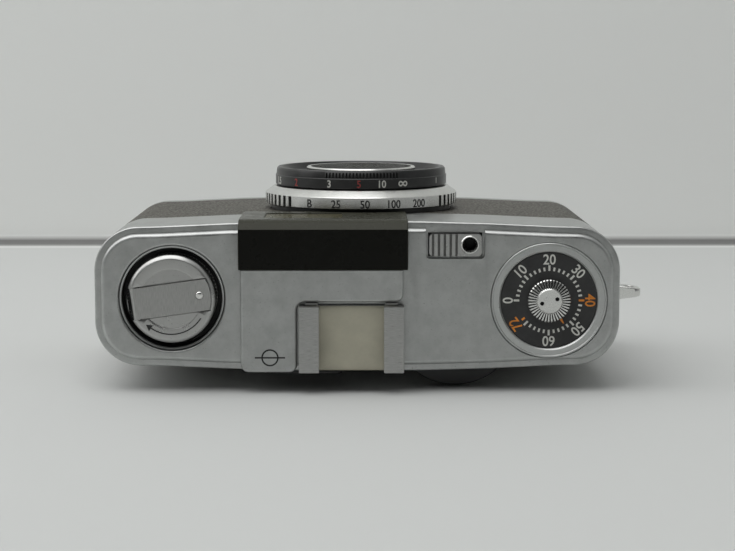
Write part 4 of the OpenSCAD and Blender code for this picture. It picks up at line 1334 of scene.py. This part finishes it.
class HALFFRAME_OT_controls(bpy.types.Operator):
    """Models the release button, the thumb wheel and the strap lug"""

    bl_idname = "half_frame.controls"
    bl_label = "Button, wheel and lug"

    def execute(self, context):
        self.make_button()
        self.make_spring()
        self.make_wheel()
        self.make_lug()
        return {"FINISHED"}

    def make_button(self):
        low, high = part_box("release_button")
        button = block("release_plate", low, high)
        open_edit(button)
        pick("EDGE", lambda e: edge_along(e, 2))
        bpy.ops.mesh.bevel(offset=0.7 * MM, segments=5)
        close_edit()
        hole_x = low.x + 2.4 * MM
        hole_y = low.y + 2.2 * MM
        grooves = [
            block(
                "groove", (x * MM, low.y - MM, high.z - 0.5 * MM), ((x + 0.5) * MM, high.y + MM, high.z + MM)
            )
            for x in (-14.9, -16.1, -17.3, -18.5, -19.7)
        ]
        seat = disc("seat", 1.92 * MM, high.z - 0.5 * MM, high.z + MM, (hole_x, hole_y), 48)
        hole = disc("hole", 1.25 * MM, high.z - 3.8 * MM, high.z + MM, (hole_x, hole_y), 48)
        cut(button, seat, hole, *grooves)
        soften(button, 0.13 * MM, 2, 40)
        hand_over(button, "release", ["release_button"], FINISHES["knob_metal"])
        # Painted shade: the groove floors get a darker metal and the inside of the hole is painted black.
        paint_faces(button, "cup_metal", lambda f: f.normal.z > 0.9 and (
            high.z - 0.6 * MM < f.calc_center_median().z < high.z - 0.45 * MM))
        paint_faces(button, "black_paint_and_shade", lambda f: f.calc_center_median().z < high.z - 0.7 * MM and math.hypot(
            f.calc_center_median().x - hole_x, f.calc_center_median().y - hole_y) < 1.4 * MM)
        collar = place(turned("cable_collar", mm(
            (1.2, -0.9), (1.9, -0.9), (1.9, 0.0), (1.75, 0.14), (1.6, 0.14), (1.2, -0.4),
        ), 48, ring=True), (hole_x, hole_y, high.z))
        hand_over(collar, "release", [], FINISHES["bright_metal"])

    def make_spring(self):
        """A coil under the release button, built at rest; the real spring flattens as the button goes down."""
        low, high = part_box("button_spring")
        mid = (low + high) / 2
        wire = 0.28 * MM
        coil = add(
            bpy.ops.mesh.primitive_circle_add, "release_coil", vertices=10, radius=wire,
            location=(1.75 * MM, 0, low.z + wire), rotation=FORWARD,
        )
        bpy.ops.object.transform_apply(location=True, rotation=True, scale=True)
        turns = 5
        apply_modifier(
            coil, "SCREW", axis="Z", angle=math.tau * turns, screw_offset=high.z - low.z - 2 * wire,
            steps=turns * 24, render_steps=turns * 24,
        )
        open_edit(coil)
        bpy.ops.mesh.select_all(action="SELECT")
        bpy.ops.mesh.fill_holes(sides=0)
        bpy.ops.mesh.select_all(action="SELECT")
        bpy.ops.mesh.normals_make_consistent(inside=False)
        close_edit()
        place(coil, (mid.x, mid.y, 0))
        hand_over(coil, "camera", ["button_spring"], FINISHES["inner_steel"], 50)
        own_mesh(coil)

    def make_wheel(self):
        wheel = turned("advance_wheel", mm(
            (1.6, -1.88), (13.2, -1.88), (13.45, -1.6), (13.45, 1.6), (13.2, 1.88), (1.6, 1.88),
        ), 240, ring=False)
        serrate(wheel, 240, 13.45 * MM, 0.35 * MM, -1.65 * MM, 1.65 * MM)
        place(wheel, WHEEL)
        hand_over(wheel, "wheel", ["thumb_wheel"], FINISHES["black_plastic"])

    def make_lug(self):
        """A washer against the cover's end, and a tapered eye for the strap."""
        washer_low, washer_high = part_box("lug_washer")
        low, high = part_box("strap_lug")
        mid = (washer_low + washer_high) / 2
        outward = (0, math.radians(-90), 0)
        washer = place(turned("lug_plate", mm(
            (2.08, -0.28), (3.5, -0.28), (3.5, 0.1), (3.3, 0.28), (2.08, 0.28),
        ), 64, ring=True), mid, outward)
        hand_over(washer, "camera", ["lug_washer"], FINISHES["satin_metal"])
        stem = place(turned("lug_stem", mm(
            (1, -3.5), (1.97, -3.5), (1.97, 0.25), (1.8, 0.4), (1, 0.4),
        ), 48), mid, outward)
        root = washer_low.x + 0.1 * MM
        tip = low.x - 0.6 * MM
        eye_spot = next(m["pos_m"] for m in frame["record"]["mounts"] if m["name"] == "strap_lug")
        eye = block("lug_eye", (tip, mid.y - 1.4 * MM, mid.z - 2.65 * MM), (root, mid.y + 1.4 * MM, mid.z + 2.65 * MM))
        open_edit(eye)
        pick("FACE", lambda f: f.normal.x < -0.9)
        bpy.ops.transform.resize(value=(1, 0.55, 1), center_override=(tip, mid.y, mid.z))
        pick("EDGE", lambda e: edge_along(e, 1) and e.verts[0].co.x < tip + TINY)
        bpy.ops.mesh.bevel(offset=1.5 * MM, segments=8)
        close_edit()
        hole = place(
            disc("hole", 1.2 * MM, -5 * MM, 5 * MM, sides=48), eye_spot, FORWARD
        )
        cut(eye, hole)
        soften(eye, 0.22 * MM, 3, 50)
        join(eye, stem)
        hand_over(eye, "camera", ["strap_lug"], FINISHES["bright_metal"], 35)


class HALFFRAME_OT_skins(bpy.types.Operator):
    """Models the leatherette, the back shell and the fittings of the base"""

    bl_idname = "half_frame.skins"
    bl_label = "Leatherette, back and base"

    def execute(self, context):
        skin = context.scene.half_frame_body.skin
        low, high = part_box("leather_left")
        split = high.y
        for node, start, end in (("leather_left", 0.05, 90), ("leather_right", -90, -0.05)):
            front = self.sleeve(node + "_skin", skin, low.z, high.z)
            self.keep(front, (start * MM, -90 * MM), (end * MM, split))
            arch = on_lens(disc("arch", 20.1 * MM, -8 * MM, 8 * MM, sides=128))
            cut(front, arch)
            if start > 0:
                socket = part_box("flash_socket")
                mid = (socket[0] + socket[1]) / 2
                hole = place(disc("hole", 2.65 * MM, -8 * MM, 8 * MM, sides=48), (mid.x, FRONT_Y, mid.z), FORWARD)
                cut(front, hole)
            hand_over(front, "camera", [node], FINISHES["leatherette"])
        low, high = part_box("back_leather")
        rear = self.sleeve("back_leather_skin", skin, low.z, high.z)
        self.keep(rear, (-90 * MM, low.y), (90 * MM, 90 * MM))
        hand_over(rear, "back", ["back_leather"], FINISHES["leatherette"])
        self.make_shell()
        self.make_fittings()
        return {"FINISHED"}

    def sleeve(self, name, thick, low, high):
        """A thin wall that follows the body's plan."""
        outer = body_slab(name, 0, low, high)
        cut(outer, body_slab("core", thick, low - MM, high + MM))
        return outer

    def keep(self, piece, low, high):
        """Keeps the part of a piece inside a box of its plan."""
        window = block("window", (low[0], low[1], -0.1), (high[0], high[1], 0.2))
        apply_modifier(piece, "BOOLEAN", operation="INTERSECT", solver="EXACT", object=window)
        bpy.data.objects.remove(window)

    def make_shell(self):
        pan_low, pan_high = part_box("back_shell")
        inner = 1.35 * MM
        pan = body_slab("back_pan", 0, pan_low.z, 4 * MM)
        open_edit(pan)
        pick("EDGE", lambda e: all(v.co.z < pan_low.z + TINY for v in e.verts)
             and any(abs(f.normal.z) < 0.5 for f in e.link_faces))
        bpy.ops.mesh.bevel(offset=0.6 * MM, segments=3)
        close_edit()
        cut(pan, body_slab("hollow", inner, 1.2 * MM, 6 * MM))
        wall = body_slab("wall", 0.62 * MM, 3.2 * MM, pan_high.z)
        cut(wall, body_slab("hollow", inner, 0, 90 * MM))
        self.keep(wall, (-90 * MM, 2.02 * MM), (90 * MM, 90 * MM))
        apply_modifier(pan, "BOOLEAN", operation="UNION", solver="EXACT", object=wall)
        bpy.data.objects.remove(wall)
        tripod, key, button = middle("tripod_socket"), middle("lock_key"), middle("rewind_release")
        cut(
            pan,
            disc("hole", 6.6 * MM, -MM, 6 * MM, (tripod.x, tripod.y), 96),
            disc("hole", 7.1 * MM, -MM, 6 * MM, (key.x, key.y), 96),
            disc("hole", 2.6 * MM, -MM, 6 * MM, (button.x, button.y), 64),
        )
        hand_over(pan, "back", ["back_shell"], FINISHES["satin_metal"])

    def make_fittings(self):
        tripod, key, button = middle("tripod_socket"), middle("lock_key"), middle("rewind_release")
        socket = place(turned("tripod_ring", mm(
            (2.7, 0.6), (3.2, 0.05), (6.2, 0.05), (6.45, 0.3), (6.45, 5.85), (2.7, 5.85),
        ), 96, ring=True), (tripod.x, tripod.y, 0))
        hand_over(socket, "camera", ["tripod_socket"], FINISHES["bright_metal"])
        plate = turned("lock_disc", mm(
            (1.5, 2.55), (6.8, 2.55), (6.95, 2.4), (6.95, 0.4), (6.75, 0.2), (1.5, 0.2),
        ), 96)
        notches = [
            disc("notch", 2.4 * MM, -MM, 1.6 * MM, (0, side * 3.6 * MM), 48) for side in (-1, 1)
        ]
        cut(plate, *notches)
        soften(plate, 0.12 * MM, 2, 50)
        place(plate, (key.x, key.y, 0))
        hand_over(plate, "key", ["lock_key"], FINISHES["crank_metal"])
        pin = place(turned("rewind_pin", mm(
            (0.4, 0.35), (1.2, 0.15), (2.2, 0.15), (2.45, 0.4), (2.45, 4.25), (0.4, 4.25),
        ), 64), (button.x, button.y, 0))
        hand_over(pin, "rewind_button", ["rewind_release"], FINISHES["bright_metal"])


class HALFFRAME_OT_marks(bpy.types.Operator):
    """Models the engraved mark of the film plane on the finder cover"""

    bl_idname = "half_frame.marks"
    bl_label = "Film plane mark"

    def execute(self, context):
        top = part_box("finder_cover")[1].z
        ring = turned("film_plane", [
            (1.45 * MM, -0.04 * MM), (1.78 * MM, -0.04 * MM), (1.78 * MM, 0.012 * MM), (1.45 * MM, 0.012 * MM),
        ], 64, ring=True)
        line = block("line", (-3.1 * MM, -0.16 * MM, -0.04 * MM), (3.1 * MM, 0.16 * MM, 0.016 * MM))
        join(ring, line)
        place(ring, (18.7 * MM, 12.3 * MM, top))
        hand_over(ring, "camera", [], FINISHES["black_paint_and_shade"])
        return {"FINISHED"}


class HALFFRAME_OT_stage(bpy.types.Operator):
    """Sets up the table, the wall, the lights and the camera"""

    bl_idname = "half_frame.stage"
    bl_label = "Stage"

    def execute(self, context):
        self.make_backdrop(context.scene.half_frame_stage)
        self.make_lights()
        self.make_camera(context.scene.half_frame_stage)
        return {"FINISHED"}

    def make_backdrop(self, stage):
        """One sheet: the table stands against the camera's back, the wall beyond its base."""
        table_y = HIGH.y + 4.2 * MM
        wall_z = -220 * MM
        sheet = add(bpy.ops.mesh.primitive_plane_add, "backdrop", size=3, location=(0, table_y, 1.28))
        open_edit(sheet)
        bpy.ops.mesh.select_all(action="SELECT")
        bpy.ops.transform.rotate(
            value=math.radians(90), orient_axis="X", center_override=(0, table_y, 1.28)
        )
        edge_z = 1.28 - 1.5
        bpy.ops.transform.translate(value=(0, 0, wall_z - edge_z))
        pick("EDGE", lambda e: all(v.co.z < wall_z + MM for v in e.verts))
        bpy.ops.mesh.extrude_edges_move(TRANSFORM_OT_translate={"value": (0, -2.2, 0)})
        pick("EDGE", lambda e: all(v.co.z < wall_z + MM and v.co.y > table_y - MM for v in e.verts))
        bpy.ops.mesh.bevel(offset=4 * MM, segments=6)
        bpy.ops.mesh.select_all(action="SELECT")
        bpy.ops.mesh.normals_make_consistent(inside=False)
        if any(f.normal.y > 0.9 for f in bmesh.from_edit_mesh(sheet.data).faces):
            bpy.ops.mesh.flip_normals()
        close_edit()
        sheet.data.materials.append(self.backdrop_finish(stage, wall_z))
        bpy.ops.object.shade_smooth()
        sheet.visible_shadow = False

    def backdrop_finish(self, stage, wall_z):
        """Pale paint, seen only from the camera's side so that it never hides the back."""
        made = bpy.data.materials.new("backdrop_paint")
        made.use_nodes = True
        tree = made.node_tree
        shader = tree.nodes["Principled BSDF"]
        shader.inputs["Roughness"].default_value = 0.75
        place_at = tree.nodes.new("ShaderNodeTexCoord")
        split = tree.nodes.new("ShaderNodeSeparateXYZ")
        tree.links.new(place_at.outputs["Object"], split.inputs["Vector"])
        level = tree.nodes.new("ShaderNodeMapRange")
        level.inputs["From Min"].default_value = wall_z + 0.002
        level.inputs["From Max"].default_value = wall_z + 0.012
        tree.links.new(split.outputs["Z"], level.inputs["Value"])
        mix = tree.nodes.new("ShaderNodeMix")
        mix.data_type = "RGBA"
        mix.inputs[6].default_value = (*stage.wall, 1)
        mix.inputs[7].default_value = (*stage.table, 1)
        tree.links.new(level.outputs["Result"], mix.inputs["Factor"])
        # Painted shadow: a dark strip along the line where the table meets the wall.
        strip = tree.nodes.new("ShaderNodeMapRange")
        strip.inputs["From Min"].default_value = HIGH.y + 0.0008
        strip.inputs["From Max"].default_value = HIGH.y + 0.0025
        tree.links.new(split.outputs["Y"], strip.inputs["Value"])
        gap = tree.nodes.new("ShaderNodeMath")
        gap.operation = "MULTIPLY"
        tree.links.new(strip.outputs["Result"], gap.inputs[0])
        far = tree.nodes.new("ShaderNodeMapRange")
        far.inputs["From Min"].default_value = wall_z + 0.006
        far.inputs["From Max"].default_value = wall_z + 0.002
        tree.links.new(split.outputs["Z"], far.inputs["Value"])
        tree.links.new(far.outputs["Result"], gap.inputs[1])
        shadow = tree.nodes.new("ShaderNodeMix")
        shadow.data_type = "RGBA"
        shadow.inputs[7].default_value = (0.2, 0.2, 0.195, 1)
        tree.links.new(gap.outputs["Value"], shadow.inputs["Factor"])
        tree.links.new(mix.outputs[2], shadow.inputs[6])
        tree.links.new(shadow.outputs[2], shader.inputs["Base Color"])
        surface = tree.nodes.new("ShaderNodeNewGeometry")
        clear = tree.nodes.new("ShaderNodeBsdfTransparent")
        either = tree.nodes.new("ShaderNodeMixShader")
        tree.links.new(surface.outputs["Backfacing"], either.inputs["Fac"])
        tree.links.new(shader.outputs["BSDF"], either.inputs[1])
        tree.links.new(clear.outputs["BSDF"], either.inputs[2])
        output = tree.nodes["Material Output"]
        tree.links.new(either.outputs["Shader"], output.inputs["Surface"])
        return made

    def make_lights(self):
        """A soft overhead light on the lens side, a fill near the camera and a pale world."""
        soft_light("overhead", (0.25, -1.1, 0.35), 1.2, 8)
        soft_light("window", (0.9, -0.6, 0.1), 0.6, 1.7)
        world = bpy.data.worlds.new("studio")
        world.use_nodes = True
        tree = world.node_tree
        place_at = tree.nodes.new("ShaderNodeTexCoord")
        split = tree.nodes.new("ShaderNodeSeparateXYZ")
        tree.links.new(place_at.outputs["Generated"], split.inputs["Vector"])
        sky = tree.nodes["Background"]
        ramp(tree, spread(tree, split.outputs["Y"], sky.inputs["Strength"], 0.56, 0.12, -1, 0.6).outputs[0],
             sky.inputs["Color"], [(0.2, (0.9, 0.92, 0.92)), (0.7, (0.96, 0.98, 0.97))])
        room = tree.nodes.new("ShaderNodeMapRange")
        room.inputs["From Min"].default_value = 0.35
        room.inputs["From Max"].default_value = 0.9
        room.inputs["To Min"].default_value = 1
        room.inputs["To Max"].default_value = 0.08
        tree.links.new(split.outputs["Z"], room.inputs["Value"])
        darker = tree.nodes.new("ShaderNodeMath")
        darker.operation = "MULTIPLY"
        tree.links.new(sky.inputs["Strength"].links[0].from_socket, darker.inputs[0])
        tree.links.new(room.outputs["Result"], darker.inputs[1])
        tree.links.new(darker.outputs["Value"], sky.inputs["Strength"])
        bpy.context.scene.world = world
        bpy.context.scene.view_settings.view_transform = "Standard"

    def make_camera(self, stage):
        """The camera looks at the top plate from a little towards the lens side."""
        across, down = math.sin(stage.turn), math.sin(stage.tilt)
        aim = Vector((-across, down, -math.sqrt(1 - across ** 2 - down ** 2)))
        right = aim.cross(Vector((0, -1, 0))).normalized()
        upward = right.cross(aim)
        lens = bpy.data.cameras.new("view")
        lens.lens = stage.focal
        lens.sensor_width = 36
        lens.clip_start = 0.01
        lens.clip_end = 20
        seat = bpy.data.objects.new("view", lens)
        bpy.context.scene.collection.objects.link(seat)
        turn = Matrix((right, upward, -aim)).transposed().to_4x4()
        seat.matrix_world = Matrix.Translation((0.5 * MM, -51 * MM, TOP_Z + stage.distance)) @ turn
        bpy.context.scene.camera = seat


def soft_light(name, spot, size, power):
    """A square area light that faces the camera body."""
    lamp = bpy.data.lights.new(name, "AREA")
    lamp.size = size
    lamp.energy = power
    seat = bpy.data.objects.new(name, lamp)
    bpy.context.scene.collection.objects.link(seat)
    seat.location = spot
    seat.rotation_euler = (Vector((0, 0, 0.03)) - Vector(spot)).to_track_quat("-Z", "Y").to_euler()


class HALFFRAME_OT_cad_finishes(bpy.types.Operator):
    """Gives every CAD node that stays in view its finish"""

    bl_idname = "half_frame.cad_finishes"
    bl_label = "Kept parts"

    def execute(self, context):
        slots = {part["node"]: part["material_slot"] for part in frame["record"]["subparts"]}
        for name, node in NODES.items():
            node.data.materials.clear()
            finish = "smoked_window" if name == "finder_window" else slots[name]
            node.data.materials.append(FINISHES[finish])
        return {"FINISHED"}


class HALFFRAME_PT_panel(bpy.types.Panel):
    """Lists the steps in the 3D view's sidebar"""

    bl_label = "Half Frame Camera"
    bl_idname = "HALFFRAME_PT_panel"
    bl_space_type = "VIEW_3D"
    bl_region_type = "UI"
    bl_category = "Camera"

    def draw(self, context):
        for step in STEPS:
            self.layout.operator(step.bl_idname)


STEPS = [
    HALFFRAME_OT_stage,
    HALFFRAME_OT_finishes,
    HALFFRAME_OT_cad_finishes,
    HALFFRAME_OT_cover,
    HALFFRAME_OT_finder,
    HALFFRAME_OT_shoe,
    HALFFRAME_OT_lens,
    HALFFRAME_OT_counter,
    HALFFRAME_OT_rewind,
    HALFFRAME_OT_controls,
    HALFFRAME_OT_skins,
    HALFFRAME_OT_marks,
]
SETTINGS = {
    "half_frame_body": BodySettings,
    "half_frame_lens": LensSettings,
    "half_frame_finish": FinishSettings,
    "half_frame_stage": StageSettings,
}


def register():
    for name, group in SETTINGS.items():
        bpy.utils.register_class(group)
        setattr(bpy.types.Scene, name, bpy.props.PointerProperty(type=group))
    for step in STEPS:
        bpy.utils.register_class(step)
    bpy.utils.register_class(HALFFRAME_PT_panel)


def unregister():
    bpy.utils.unregister_class(HALFFRAME_PT_panel)
    for step in reversed(STEPS):
        bpy.utils.unregister_class(step)
    for name, group in SETTINGS.items():
        delattr(bpy.types.Scene, name)
        bpy.utils.unregister_class(group)


def main():
    register()
    for step in STEPS:
        family, action = step.bl_idname.split(".")
        getattr(getattr(bpy.ops, family), action)()


if __name__ == "__main__":
    main()
